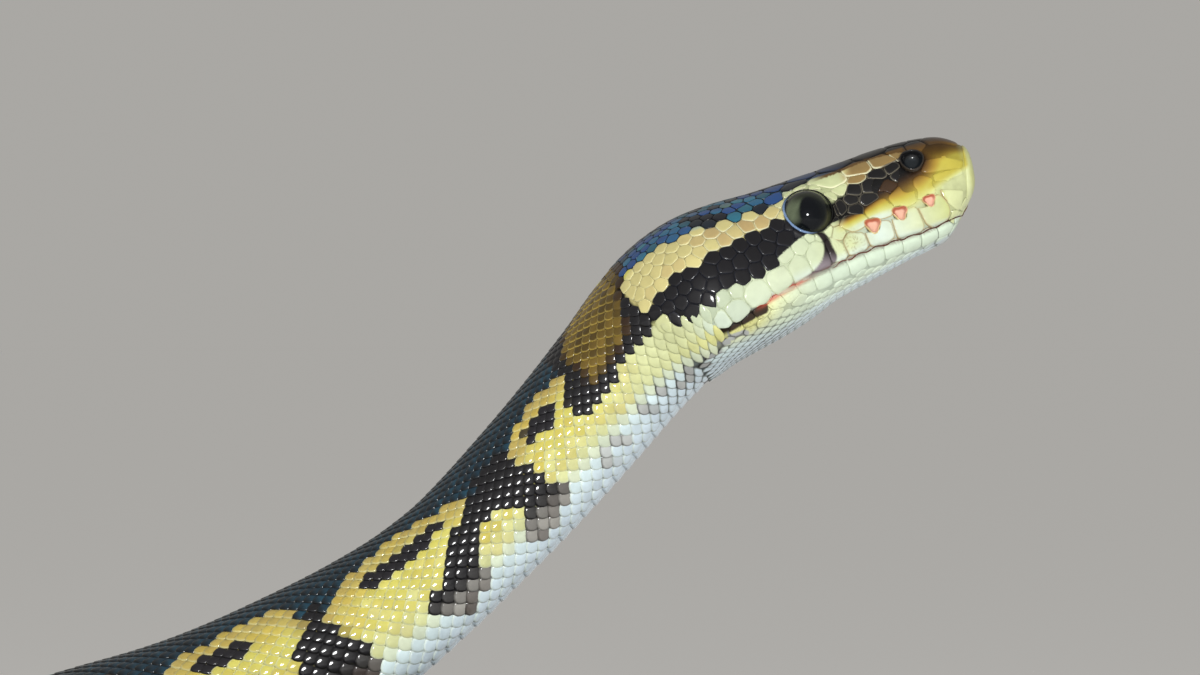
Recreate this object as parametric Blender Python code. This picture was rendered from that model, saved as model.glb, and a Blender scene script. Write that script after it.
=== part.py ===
"""A life-size ball python: body coiled in two stacked turns on the floor, neck and head raised over the coil.

The whole animal is one surface carried along one centreline, which runs from the snout tip back to the tail
tip. Each named length is its own solid, parted from the next by a thin flat cut. The head is parted along the
mouth into the skull and the lower jaw, and its sockets hold the eyes.
Row frame: +Z up, the snout towards +X, the animal's right side towards -Y, the origin under the bounding box.
"""

import math

import bmesh
import bpy
import numpy as np
from mathutils import Vector

MM = 0.001

# Driving dimensions of the animal
TOTAL_LENGTH = 860 * MM  # snout to tail tip, along the body
HEAD_LENGTH = 38 * MM  # snout to the angle of the jaw
VENT_AT = 786 * MM  # where the tail begins
EYE_RADIUS = 2.6 * MM
CUT = 0.3 * MM  # gap between neighbouring solids

# Where the snout tip and the coil stand in the row frame
SNOUT_TIP = Vector((83.57 * MM, 25.2 * MM, 112.77 * MM))
COIL_CENTRE = Vector((0.2 * MM, 0.2 * MM, 0.0))

# Slope of the raised head and neck, in degrees above the level: (distance from the snout in mm, slope)
SLOPE = [
    (0, 3), (2.5, 16), (5, 24), (8, 25), (29, 25.5), (33, 36), (37, 48), (42, 52.5), (50, 50.5), (58, 48.5),
    (66, 45), (74, 37.5), (84, 27.5), (94, 24.5), (104, 19), (118, 15.5),
]
RAISED_LENGTH = 116 * MM  # what of the body lies in the upright plane of the head

# The coil, by turns counted from where the neck joins it: (turns, radius in mm, height of the centreline in mm)
COIL_START = math.pi  # the neck joins the coil on its left side
COIL = [
    (0.0, 35, 39.5), (0.25, 37, 38.6), (0.5, 41, 38.8), (0.75, 47, 37.2), (0.9, 53.5, 24.5), (1.0, 58, 16.9),
    (1.25, 63.5, 17), (1.5, 67, 17), (1.75, 71.5, 17), (1.9, 78, 17), (2.0, 84, 17), (2.2, 93, 17),
]
COIL_STEPS = 36  # points of the centreline in a turn
FLOOR_FROM = 1.02  # turns: from here to the tail tip the belly rests on the floor
RESTING = 0.96  # height of the centreline there, as a share of the belly's depth: the rest is pressed flat

# The head's outline, in mm: distance from the snout, height of the crown and depth of the throat from the
# centreline, half width, height of the widest place, and how square the upper and the lower half are
HEAD = [
    (0, 2.60, 1.42, 3.4, -0.2, 2.4, 2.2),
    (1.5, 3.64, 3.34, 4.1, -0.9, 2.5, 2.25),
    (3, 4.52, 4.62, 4.75, -1.6, 2.6, 2.3),
    (6, 5.33, 6.05, 5.35, -2.4, 2.6, 2.4),
    (10, 5.90, 6.15, 6.25, -2.8, 2.6, 2.5),
    (14, 6.32, 6.40, 7.15, -2.9, 2.5, 2.5),
    (18, 6.80, 6.62, 8.15, -2.8, 2.4, 2.4),
    (22, 7.28, 7.42, 9.45, -2.4, 2.3, 2.3),
    (26, 7.85, 7.95, 10.7, -2.0, 2.2, 2.3),
    (30, 8.15, 8.15, 11.5, -1.6, 2.1, 2.2),
    (34, 7.95, 8.10, 10.7, -1.2, 2.1, 2.2),
    (38, 7.55, 7.60, 8.9, -0.7, 2.05, 2.15),
    (43, 7.20, 7.25, 7.5, -0.2, 2.0, 2.15),
    (50, 7.2, 6.9, 7.0, 0.0, 2.0, 2.2),
]
SNOUT_ROUND = 0.8 * MM  # depth over which the blunt front of the snout closes
# The rest of the body, in mm: distance from the snout, height of the back, depth of the belly, half width
BODY = [
    (50, 7.2, 6.9, 7.0), (58, 7.15, 6.65, 6.9), (66, 7.1, 6.4, 6.9), (72, 7.4, 6.6, 7.1),
    (80, 7.85, 7.4, 7.6), (95, 8.1, 7.8, 8.1), (110, 8.55, 8.1, 8.6), (160, 9.9, 9.0, 10.4),
    (220, 12.0, 11.0, 13.0), (300, 15.2, 14.0, 16.6), (380, 18.0, 16.6, 19.4), (460, 19.2, 17.8, 20.6),
    (540, 19.0, 17.6, 20.4), (620, 17.0, 15.8, 18.2),
    (700, 13.2, 12.2, 14.2), (760, 9.6, 8.9, 10.2), (786, 7.8, 7.2, 8.2), (805, 6.2, 5.8, 6.5),
    (830, 3.9, 3.6, 4.0), (850, 1.9, 1.8, 2.0), (858, 1.0, 1.0, 1.0), (860, 0.6, 0.6, 0.6),
]
BODY_SQUARE = (2.1, 2.5)  # upper and lower half: the belly is the flatter side

# The mouth, in the upright plane of the head, in mm: distance from the snout, height from the centreline
MOUTH = [(-2, -4.1), (4, -4.25), (7, -4.2), (10.5, -3.75), (14, -3.35), (20, -3.3), (24, -3.6)]
JAW_BACK = [(30, -4.6), (34, -6.2), (36, -8.4), (37, -14)]
EYE_AT = (17.7 * MM, 2.45 * MM, 5.85 * MM)  # from the snout, above the centreline, out from the middle

# Lengths of the body as a person would name them: (name, where each begins and ends in mm from the snout)
LENGTHS = [("neck", 40, 116)]
TRUNK_FROM, TRUNK_TO, TRUNK_COUNT = 116, 786, 9
HEAD_RINGS, HEAD_AROUND = 30, 36
BODY_STEP, BODY_AROUND = 8 * MM, 24


def smooth(x, rows, column=1):
    """A curve through the rows that never swings past them: cubic pieces with limited slopes."""
    xs = np.array([row[0] for row in rows], float)
    ys = np.array([row[column] for row in rows], float)
    step = np.diff(xs)
    rise = np.diff(ys) / step
    slope = np.concatenate([[rise[0]], np.zeros(len(xs) - 2), [rise[-1]]])
    same_way = rise[:-1] * rise[1:] > 0
    near, far = 2 * step[1:] + step[:-1], step[1:] + 2 * step[:-1]
    safe = np.where(same_way, rise[:-1], 1), np.where(same_way, rise[1:], 1)
    slope[1:-1] = np.where(same_way, (near + far) / (near / safe[0] + far / safe[1]), 0)
    i = np.clip(np.searchsorted(xs, x, side="right") - 1, 0, len(xs) - 2)
    t = (np.clip(x, xs[0], xs[-1]) - xs[i]) / step[i]
    return (
        (2 * t**3 - 3 * t**2 + 1) * ys[i]
        + (t**3 - 2 * t**2 + t) * step[i] * slope[i]
        + (3 * t**2 - 2 * t**3) * ys[i + 1]
        + (t**3 - t**2) * step[i] * slope[i + 1]
    )


def spline(knots, points, at):
    """The natural cubic spline through points, an array of rows, at the given places between the knots."""
    h = np.diff(knots)[:, None]
    count = len(knots)
    bending = np.eye(count)
    load = np.zeros(points.shape)
    for i in range(1, count - 1):
        bending[i, i - 1 : i + 2] = h[i - 1, 0], 2 * (h[i - 1, 0] + h[i, 0]), h[i, 0]
        load[i] = 3 * ((points[i + 1] - points[i]) / h[i] - (points[i] - points[i - 1]) / h[i - 1])
    c = np.linalg.solve(bending, load)
    b = np.diff(points, axis=0) / h - h * (2 * c[:-1] + c[1:]) / 3
    d = np.diff(c, axis=0) / (3 * h)
    i = np.clip(np.searchsorted(knots, at, side="right") - 1, 0, count - 2)
    t = (at - knots[i])[:, None]
    return points[i] + t * (b[i] + t * (c[:-1][i] + t * d[i]))


def section(s):
    """Crown height, belly depth, half width, height of the widest place and both squarenesses at s."""
    mm = np.asarray(s, float) / MM
    head = [smooth(mm, HEAD, column) for column in range(1, 7)]
    body = [smooth(mm, BODY, column) for column in range(1, 4)]
    body += [np.zeros_like(mm), np.full_like(mm, BODY_SQUARE[0]), np.full_like(mm, BODY_SQUARE[1])]
    in_head = mm < HEAD[-1][0]
    blend = np.clip((mm - HEAD[-1][0]) / 30, 0, 1)
    found = []
    for i in range(6):
        joined = body[i] if i < 3 else HEAD[-1][i + 1] + (body[i] - HEAD[-1][i + 1]) * blend
        found.append(np.where(in_head, head[i], joined))
    closing = (1 - np.clip(1 - mm * MM / SNOUT_ROUND, 0, 1) ** 2.4) ** (1 / 2.4)
    return [found[0] * MM * closing, found[1] * MM * closing, found[2] * MM * closing,
            found[3] * MM * closing, found[4], found[5]]


def raised_line():
    """The centreline of the head and the raised neck, a point every millimetre, from their slope."""
    s = np.arange(0, RAISED_LENGTH, MM)
    slope = np.radians(smooth(s / MM + 0.5, SLOPE))
    back = np.concatenate([[0], np.cumsum(np.cos(slope))[:-1]]) * MM
    down = np.concatenate([[0], np.cumsum(np.sin(slope))[:-1]]) * MM
    return np.stack([SNOUT_TIP.x - back, np.full(len(s), SNOUT_TIP.y), SNOUT_TIP.z - down], 1)


def coil_line():
    """The centreline of the coil: a spiral that widens as it comes down."""
    turns = np.arange(0, COIL[-1][0] + 0.01, 1 / COIL_STEPS)
    angle = COIL_START + 2 * math.pi * turns
    radius = smooth(turns, COIL, 1) * MM
    x = COIL_CENTRE.x + radius * np.cos(angle)
    y = COIL_CENTRE.y + radius * np.sin(angle)
    return np.stack([x, y, smooth(turns, COIL, 2) * MM], 1)


def lengths_along(points):
    """The distance of each point from the first one, measured from point to point."""
    return np.concatenate([[0], np.cumsum(np.linalg.norm(np.diff(points, axis=0), axis=1))])


def centreline():
    """Points of the whole centreline with their distances from the snout: one smooth curve."""
    raised, coil = raised_line()[[0, 2, 4, *range(8, 116, 8)]], coil_line()
    points = np.concatenate([raised, coil])
    resting = np.arange(len(points)) >= len(raised) + math.ceil(FLOOR_FROM * COIL_STEPS)
    s = lengths_along(points)
    for _ in range(3):  # the belly's depth sets the height, and the height sets the length
        points[resting, 2] = RESTING * section(s[resting])[1]
        knots = lengths_along(points)
        at = np.arange(0, knots[-1], MM / 2)
        fine = spline(knots, points, at)
        along = lengths_along(fine)
        s = np.interp(knots, at, along)
    if along[-1] < TOTAL_LENGTH:
        raise ValueError(f"the coil is {1000 * (TOTAL_LENGTH - along[-1]):.0f} mm too short for the body")
    return along, fine


ALONG, LINE = centreline()


def place(s):
    """Where the centreline is at s, and the ways back, up and to the animal's right there."""
    at = np.stack([np.interp(s, ALONG, LINE[:, i]) for i in range(3)], -1)
    step = 2 * MM
    ahead = np.stack([np.interp(s - step, ALONG, LINE[:, i]) for i in range(3)], -1)
    behind = np.stack([np.interp(s + step, ALONG, LINE[:, i]) for i in range(3)], -1)
    back = behind - ahead
    back /= np.linalg.norm(back, axis=-1, keepdims=True)
    up = np.array([0, 0, 1.0]) - back * back[..., 2:]
    up /= np.linalg.norm(up, axis=-1, keepdims=True)
    return at, back, up, np.cross(up, back)


def ring(s, around):
    """One section of the body at s as points, from the midline of the back round by the right side."""
    at, _, up, right = place(s)
    crown, belly, half, widest, upper, lower = section(s)
    angle = np.linspace(0, 2 * math.pi, around, endpoint=False)
    sine, cosine = np.sin(angle), np.cos(angle)
    square = np.where(cosine >= 0, upper, lower)
    across = half * np.sign(sine) * np.abs(sine) ** (2 / square)
    reach = np.where(cosine >= 0, crown - widest, belly + widest)
    height = widest + reach * np.sign(cosine) * np.abs(cosine) ** (2 / square)
    points = at + across[:, None] * right + height[:, None] * up
    points[:, 2] = np.maximum(points[:, 2], 0)  # the belly lies flat on the floor
    return points


def loft(name, stations, around, closed_front=False):
    """A solid carried through the sections at the stations, with flat ends or a front that ends in a point."""
    mesh = bmesh.new()
    rings = [[mesh.verts.new(p) for p in ring(s, around)] for s in stations]
    for near, far in zip(rings, rings[1:]):
        for i in range(around):
            j = (i + 1) % around
            mesh.faces.new((near[i], far[i], far[j], near[j]))
    if closed_front:
        tip = mesh.verts.new(place(0.0)[0])
        for i in range(around):
            mesh.faces.new((tip, rings[0][i], rings[0][(i + 1) % around]))
    else:
        mesh.faces.new(rings[0])
    mesh.faces.new(rings[-1][::-1])
    bmesh.ops.recalc_face_normals(mesh, faces=mesh.faces)
    return add_mesh(name, mesh)


def add_mesh(name, mesh, collection=None):
    data = bpy.data.meshes.new(name)
    mesh.to_mesh(data)
    mesh.free()
    made = bpy.data.objects.new(name, data)
    (collection or animal).objects.link(made)
    return made


def finish(obj, material):
    obj.data.materials.clear()
    obj.data.materials.append(material)
    obj.data.shade_smooth()
    return obj


def material(name, colour, roughness):
    made = bpy.data.materials.new(name)
    made.use_nodes = True
    shader = made.node_tree.nodes["Principled BSDF"]
    shader.inputs["Base Color"].default_value = (*colour, 1)
    shader.inputs["Roughness"].default_value = roughness
    return made


def jaw_block(name, grown):
    """The room of the lower jaw: a prism under the mouth line, grown by that much towards the skull."""
    outline = MOUTH + JAW_BACK
    corners = [(s, h + grown / MM) for s, h in outline[: len(MOUTH)]]
    corners += [(s + grown / MM, h + grown / MM) for s, h in outline[len(MOUTH) :]]
    corners.append((-2, JAW_BACK[-1][1]))
    at, back, up, right = (Vector(v) for v in place(10 * MM))
    at -= back * 10 * MM
    half_width = 16 * MM
    mesh = bmesh.new()
    sides = []
    for side in (-1, 1):
        sides.append([mesh.verts.new(at + back * s * MM + up * h * MM + right * side * half_width) for s, h in corners])
    count = len(corners)
    for i in range(count):
        j = (i + 1) % count
        mesh.faces.new((sides[0][i], sides[0][j], sides[1][j], sides[1][i]))
    mesh.faces.new(sides[0][::-1])
    mesh.faces.new(sides[1])
    bmesh.ops.recalc_face_normals(mesh, faces=mesh.faces)
    return add_cutter(name, mesh)


def add_cutter(name, mesh):
    made = add_mesh(name, mesh, cutters)
    made.hide_render = True
    made.display_type = "WIRE"
    return made


def eye_centre(side):
    """The middle of the right eye, side 1, or of the left one, side -1."""
    along, above, out = EYE_AT
    at, _, up, right = (Vector(v) for v in place(along))
    return at + up * above + right * side * out


def eye_mesh(radius, side):
    mesh = bmesh.new()
    bmesh.ops.create_uvsphere(mesh, u_segments=20, v_segments=12, radius=radius)
    bmesh.ops.translate(mesh, verts=mesh.verts, vec=eye_centre(side))
    return mesh


def boolean(obj, operation, other):
    modifier = obj.modifiers.new(operation.lower() + "_" + other.name, "BOOLEAN")
    modifier.operation = operation
    modifier.object = other
    modifier.solver = "EXACT"


for old in list(bpy.data.objects):
    bpy.data.objects.remove(old)
animal = bpy.data.collections.new("ball_python")
cutters = bpy.data.collections.new("cutters")
bpy.context.scene.collection.children.link(animal)
bpy.context.scene.collection.children.link(cutters)

patterned_skin = material("patterned_skin", (0.20, 0.15, 0.07), 0.35)
lip_skin = material("lip_skin", (0.78, 0.74, 0.52), 0.35)
eye_dark = material("eye_dark", (0.03, 0.035, 0.03), 0.08)

# The head: rings lie closest where the snout closes
HEAD_END = 40 * MM
shares = np.linspace(0, 1, HEAD_RINGS + 1)[1:]
head_stations = (HEAD_END - CUT / 2) * (0.35 * shares**2.6 + 0.65 * shares)
head_stations = np.concatenate([np.array([0.05, 0.25, 0.6]) * MM, head_stations])
for name, operation, grown in (("head", "DIFFERENCE", CUT / 2), ("lower_jaw", "INTERSECT", -CUT / 2)):
    piece = loft(name, head_stations, HEAD_AROUND, closed_front=True)
    boolean(piece, operation, jaw_block(name + "_parting", grown))
    finish(piece, patterned_skin if name == "head" else lip_skin)
    if name == "head":
        for side_name, side in (("right", 1), ("left", -1)):
            boolean(piece, "DIFFERENCE", add_cutter("socket_" + side_name, eye_mesh(EYE_RADIUS + CUT, side)))
for side_name, side in (("right", 1), ("left", -1)):
    finish(add_mesh("eye_" + side_name, eye_mesh(EYE_RADIUS, side)), eye_dark)

# The neck, the trunk and the tail
trunk_cuts = np.linspace(TRUNK_FROM, TRUNK_TO, TRUNK_COUNT + 1)
for i in range(TRUNK_COUNT):
    LENGTHS.append((f"trunk_{i + 1}", trunk_cuts[i], trunk_cuts[i + 1]))
LENGTHS.append(("tail", VENT_AT / MM, TOTAL_LENGTH / MM))
for name, begins, ends in LENGTHS:
    first, last = begins * MM + CUT / 2, ends * MM - CUT / 2
    steps = max(4, round((last - first) / BODY_STEP))
    finish(loft(name, np.linspace(first, last, steps + 1), BODY_AROUND), patterned_skin)
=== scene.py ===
import math

import bpy
import mathutils
import numpy as np
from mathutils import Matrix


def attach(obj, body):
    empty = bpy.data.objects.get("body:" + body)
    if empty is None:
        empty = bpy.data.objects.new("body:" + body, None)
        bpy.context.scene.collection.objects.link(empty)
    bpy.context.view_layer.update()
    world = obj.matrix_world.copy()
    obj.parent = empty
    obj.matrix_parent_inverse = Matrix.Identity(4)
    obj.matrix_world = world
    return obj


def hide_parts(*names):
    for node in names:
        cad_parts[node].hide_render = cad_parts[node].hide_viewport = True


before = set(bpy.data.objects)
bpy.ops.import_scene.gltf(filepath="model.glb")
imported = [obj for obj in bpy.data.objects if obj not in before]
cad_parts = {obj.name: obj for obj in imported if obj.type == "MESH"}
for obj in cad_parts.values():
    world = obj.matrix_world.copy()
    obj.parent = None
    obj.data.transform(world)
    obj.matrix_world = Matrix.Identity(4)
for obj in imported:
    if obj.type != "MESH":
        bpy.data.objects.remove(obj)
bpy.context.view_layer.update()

# ----------------------------------------------------------------------------------------------------
# The skin: one tube of soft hide from the snout tip to the tail tip, coiled on the floor, the neck raised.
# It lies under the scales by their depth, shows in the seams between them, and has the same markings,
# darkened there as painted shade.

# Lengths on the body are in mm from the snout tip, angles in degrees from the middle of the back
MM = 0.001
BODY_LENGTH = 860
SNOUT_TIP = np.array([83.57, 25.2, 112.77])
COIL_CENTRE = np.array([0.2, 0.2, 0.0])
SLOPE = [  # (distance from the snout, degrees that the raised part slopes down towards the coil)
    (0, 3), (2.5, 16), (5, 24), (8, 25), (29, 25.5), (33, 36), (37, 48), (42, 52.5), (50, 50.5), (58, 48.5),
    (66, 45), (74, 37.5), (84, 27.5), (94, 24.5), (104, 19), (118, 15.5),
]
RAISED_LENGTH = 116
COIL = [  # (turns, radius, height of the body's middle)
    (0.0, 35, 39.5), (0.25, 37, 38.6), (0.5, 41, 38.8), (0.75, 47, 37.2), (0.9, 53.5, 24.5),
    (1.0, 58, 16.9), (1.25, 63.5, 17), (1.5, 67, 17), (1.75, 71.5, 17), (1.9, 78, 17), (2.0, 84, 17),
    (2.2, 93, 17),
]
COIL_STEPS = 36
FLOOR_FROM = 1.02  # turns: from here on the belly rests on the floor
RESTING = 0.96  # there the middle lies this share of the belly's depth high, so the belly is pressed flat
# Distance, crown above the middle, throat below it, half width, height of the widest place, squareness of
# the upper and the lower half
HEAD = [
    (0, 2.60, 1.42, 3.4, -0.2, 2.4, 2.2), (1.5, 3.64, 3.34, 4.1, -0.9, 2.5, 2.25),
    (3, 4.52, 4.62, 4.75, -1.6, 2.6, 2.3), (6, 5.33, 6.05, 5.35, -2.4, 2.6, 2.4),
    (10, 5.90, 6.15, 6.25, -2.8, 2.6, 2.5), (14, 6.32, 6.40, 7.15, -2.9, 2.5, 2.5),
    (18, 6.80, 6.62, 8.15, -2.8, 2.4, 2.4), (22, 7.28, 7.42, 9.45, -2.4, 2.3, 2.3),
    (26, 7.85, 7.95, 10.7, -2.0, 2.2, 2.3), (30, 8.15, 8.15, 11.5, -1.6, 2.1, 2.2),
    (34, 7.95, 8.10, 10.7, -1.2, 2.1, 2.2), (38, 7.55, 7.60, 8.9, -0.7, 2.05, 2.15),
    (43, 7.20, 7.25, 7.5, -0.2, 2.0, 2.15), (50, 7.2, 6.9, 7.0, 0, 2.0, 2.2),
]
HEAD_RELIEF = 40  # the relief of the head ends here
MOUTH_CORNER = 31.5
SNOUT_ROUND = 0.8  # the tip is rounded over this length
# Distance, back above the middle, belly below it, half width
BODY = [
    (50, 7.2, 6.9, 7.0), (58, 7.15, 6.65, 6.9), (66, 7.1, 6.4, 6.9), (72, 7.4, 6.6, 7.1),
    (80, 7.85, 7.4, 7.6), (95, 8.1, 7.8, 8.1), (110, 8.55, 8.1, 8.6), (160, 9.9, 9.0, 10.4),
    (220, 12.0, 11.0, 13.0), (300, 15.2, 14.0, 16.6), (380, 18.0, 16.6, 19.4), (460, 19.2, 17.8, 20.6),
    (540, 19.0, 17.6, 20.4), (620, 17.0, 15.8, 18.2), (700, 13.2, 12.2, 14.2), (760, 9.6, 8.9, 10.2),
    (786, 7.8, 7.2, 8.2), (805, 6.2, 5.8, 6.5), (830, 3.9, 3.6, 4.0), (850, 1.9, 1.8, 2.0),
    (858, 1.0, 1.0, 1.0), (860, 0.6, 0.6, 0.6),
]
BODY_SQUARE = (2.1, 2.5)  # of the upper and the lower half
# Distance, height of the lip line above the middle
MOUTH = [
    (0, -3.5), (1, -3.78), (2.5, -4.1), (5, -4.24), (7, -4.2), (10.5, -3.75), (14, -3.35), (20, -3.3),
    (24, -3.6), (28, -4.3),
]
EYE_AT = (17.7, 2.45, 5.85)  # from the snout, above the middle, out to each side
EYE_RADIUS = 2.6
# The nostril and the heat pits of one side: distance, angle, radius
NOSTRIL = (5.7, 38, 1.1)
PITS = [(5.8, 79.5, 0.58), (9.1, 76, 0.68), (12.15, 76, 0.72)]
# The length of one scale along the body, which sets how deep the coat is
PITCH = [
    (36, 1.15), (45, 1.36), (55, 1.6), (65, 1.66), (95, 1.85), (160, 2.35), (300, 3.4), (400, 3.9),
    (560, 3.9), (700, 3.1), (760, 2.5), (786, 2.1), (830, 1.4), (860, 0.9),
]


def smooth(x, rows, column=1):
    """A curve through the rows that never swings past them: cubic Hermite pieces whose slope at each row is
    the weighted harmonic mean of the slopes beside it, or level where those differ in sign."""
    xs = np.array([row[0] for row in rows], float)
    ys = np.array([row[column] for row in rows], float)
    step = np.diff(xs)
    rise = np.diff(ys) / step
    slope = np.concatenate([[rise[0]], np.zeros(len(xs) - 2), [rise[-1]]])
    same_way = rise[:-1] * rise[1:] > 0
    near, far = 2 * step[1:] + step[:-1], step[1:] + 2 * step[:-1]
    safe = np.where(same_way, rise[:-1], 1), np.where(same_way, rise[1:], 1)
    slope[1:-1] = np.where(same_way, (near + far) / (near / safe[0] + far / safe[1]), 0)
    i = np.clip(np.searchsorted(xs, x, side="right") - 1, 0, len(xs) - 2)
    t = (np.clip(x, xs[0], xs[-1]) - xs[i]) / step[i]
    return (
        (2 * t**3 - 3 * t**2 + 1) * ys[i]
        + (t**3 - 2 * t**2 + t) * step[i] * slope[i]
        + (3 * t**2 - 2 * t**3) * ys[i + 1]
        + (t**3 - t**2) * step[i] * slope[i + 1]
    )


def spline(knots, points, at):
    """The natural cubic spline through rows of points: its second derivatives solve one banded set of
    equations."""
    h = np.diff(knots)[:, None]
    count = len(knots)
    bending = np.eye(count)
    load = np.zeros(points.shape)
    inner = np.arange(1, count - 1)
    bending[inner, inner - 1] = h[:-1, 0]
    bending[inner, inner] = 2 * (h[:-1, 0] + h[1:, 0])
    bending[inner, inner + 1] = h[1:, 0]
    rise = np.diff(points, axis=0) / h
    load[1:-1] = 3 * np.diff(rise, axis=0)
    c = np.linalg.solve(bending, load)
    b = rise - h * (2 * c[:-1] + c[1:]) / 3
    d = np.diff(c, axis=0) / (3 * h)
    i = np.clip(np.searchsorted(knots, at, side="right") - 1, 0, count - 2)
    t = (at - knots[i])[:, None]
    return points[i] + t * (b[i] + t * (c[:-1][i] + t * d[i]))


def section(s):
    """Crown, belly, half width, height of the widest place and both squarenesses at s. The head's rows
    blend into the body's over 30 mm. All is closed to a blunt point at the snout, by the share
    (1 - (1 - s/round)^2.4)^(1/2.4)."""
    head = [smooth(s, HEAD, column) for column in range(1, 7)]
    body = [smooth(s, BODY, column) for column in range(1, 4)]
    body += [np.zeros_like(s), np.full_like(s, BODY_SQUARE[0]), np.full_like(s, BODY_SQUARE[1])]
    blend = np.clip((s - HEAD[-1][0]) / 30, 0, 1)
    found = []
    for i in range(6):
        joined = body[i] if i < 3 else HEAD[-1][i + 1] + (body[i] - HEAD[-1][i + 1]) * blend
        found.append(np.where(s < HEAD[-1][0], head[i], joined))
    closing = (1 - np.clip(1 - s / SNOUT_ROUND, 0, 1) ** 2.4) ** (1 / 2.4)
    return np.stack([found[i] * closing if i < 4 else found[i] for i in range(6)], -1)


def length(v):
    return np.linalg.norm(v, axis=-1)


def unit(v):
    return v / length(v)[..., None]


def dot(v, w):
    return (v * w).sum(-1)


def circle(count):
    """Evenly spaced angles of a full turn, in radians."""
    return np.arange(count) * 2 * math.pi / count


def lengths_along(points):
    """The distance of each point from the first one, from point to point."""
    return np.concatenate([[0], np.cumsum(length(np.diff(points, axis=0)))])


def centreline():
    """The raised part is the running sum of its slope, the coil a widening spiral that comes down to the
    floor, and one spline goes through both. It returns the distance along it and its points."""
    s = np.arange(0, RAISED_LENGTH, 1.0)
    slope = np.radians(smooth(s + 0.5, SLOPE))
    back = np.concatenate([[0], np.cumsum(np.cos(slope))[:-1]])
    down = np.concatenate([[0], np.cumsum(np.sin(slope))[:-1]])
    raised = np.stack([SNOUT_TIP[0] - back, np.full(len(s), SNOUT_TIP[1]), SNOUT_TIP[2] - down], 1)
    raised = raised[[0, 2, 4, *range(8, RAISED_LENGTH, 8)]]
    turns = np.arange(0, COIL[-1][0] + 0.01, 1 / COIL_STEPS)
    angle = math.pi * (1 + 2 * turns)
    radius = smooth(turns, COIL, 1)
    coil = np.stack([COIL_CENTRE[0] + radius * np.cos(angle), COIL_CENTRE[1] + radius * np.sin(angle),
                     smooth(turns, COIL, 2)], 1)
    points = np.concatenate([raised, coil])
    resting = np.arange(len(points)) >= len(raised) + math.ceil(FLOOR_FROM * COIL_STEPS)
    s = lengths_along(points)
    for _ in range(3):
        points[resting, 2] = RESTING * section(s[resting])[:, 1]
        knots = lengths_along(points)
        fine = spline(knots, points, np.arange(0, knots[-1], 0.5))
        along = lengths_along(fine)
        s = np.interp(knots, np.arange(0, knots[-1], 0.5), along)
    return along, fine


# Each row of BONES says where the body's middle is at one distance, its ways back, up and right, and its
# section
BONE_STEP = 0.25
ALONG, LINE = centreline()
bone_s = np.arange(0, BODY_LENGTH + 2, BONE_STEP)
middle, ahead, behind = (
    np.stack([np.interp(bone_s + shift, ALONG, LINE[:, i]) for i in range(3)], -1) for shift in (0, -2, 2)
)
back = unit(behind - ahead)
up = unit(np.array([0, 0, 1.0]) - back * back[:, 2:])
BONES = np.concatenate([middle, up, np.cross(up, back), section(np.clip(bone_s, 0.01, BODY_LENGTH))], 1)
eye_row = int(round(EYE_AT[0] / BONE_STEP))
eye_foot, eye_up, eye_right = middle[eye_row], up[eye_row], np.cross(up[eye_row], back[eye_row])
EYES = {side: eye_foot + eye_up * EYE_AT[1] + eye_right * side * EYE_AT[2] for side in (1, -1)}

# The angle of the lip line: where the superellipse of the section has the lip line's height
mouth_s = bone_s[:130]
crown, belly, half, widest, upper, lower = section(mouth_s).T
mouth_height = smooth(mouth_s, MOUTH) - widest
mouth_square = np.where(mouth_height >= 0, upper, lower)
mouth_reach = np.where(mouth_height >= 0, crown - widest, belly + widest)
mouth_share = np.clip(np.abs(mouth_height) / np.maximum(mouth_reach, 0.01), 0, 1)
mouth_out = half * (1 - mouth_share**mouth_square) ** (1 / mouth_square)
MOUTH_ANGLE = np.degrees(np.arctan2(mouth_out, mouth_height))


def bell(distance, width):
    return np.exp(-((distance / width) ** 2))


def ramp(x, low, high):
    """0 below low, 1 above high and a smooth step between them: t * t * (3 - 2 * t)."""
    t = np.clip((x - low) / (high - low), 0, 1)
    return t * t * (3 - 2 * t)


def fall(x, low, high):
    """1 below low, 0 above high: the ramp upside down."""
    return 1 - ramp(x, low, high)


def window(x, rise_from, rise_to, fall_from, fall_to):
    """0 outside, 1 in the middle and a smooth step at both sides."""
    return ramp(x, rise_from, rise_to) * fall(x, fall_from, fall_to)


def wrap(angle):
    """The same angle between -180 and 180 degrees."""
    return (angle + 180) % 360 - 180


def mouth_line(s):
    """The angle from the back at which the lips meet."""
    return np.interp(s, mouth_s, MOUTH_ANGLE)


def relief(s, side_angle, radius):
    """How far the hide swells or sinks, in mm: bell curves of the distance along the hide from the lip
    line, the hollow in front of the eye, the brow and the furrow of the crown."""
    below_lip = np.radians(side_angle - mouth_line(s)) * radius
    lips = 0.20 * bell(below_lip + 1.3, 1.0) + 0.14 * bell(below_lip - 1.1, 0.8)
    swell = window(s, 2.2, 4.5, 23, 27) * (lips - 0.42 * bell(below_lip, 0.26))
    hollow = np.hypot((s - 11.5) / 4.2, np.radians(side_angle - 58) * radius / 1.5)
    brow = np.hypot((s - 16.2) / 3.0, np.radians(side_angle - 30) * radius / 1.5)
    furrow = window(s, 9, 13, 24, 34) * bell(np.radians(side_angle) * radius, 1.2)
    return swell - 0.32 * bell(hollow, 1) + 0.25 * bell(brow, 1) - 0.15 * furrow


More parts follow.
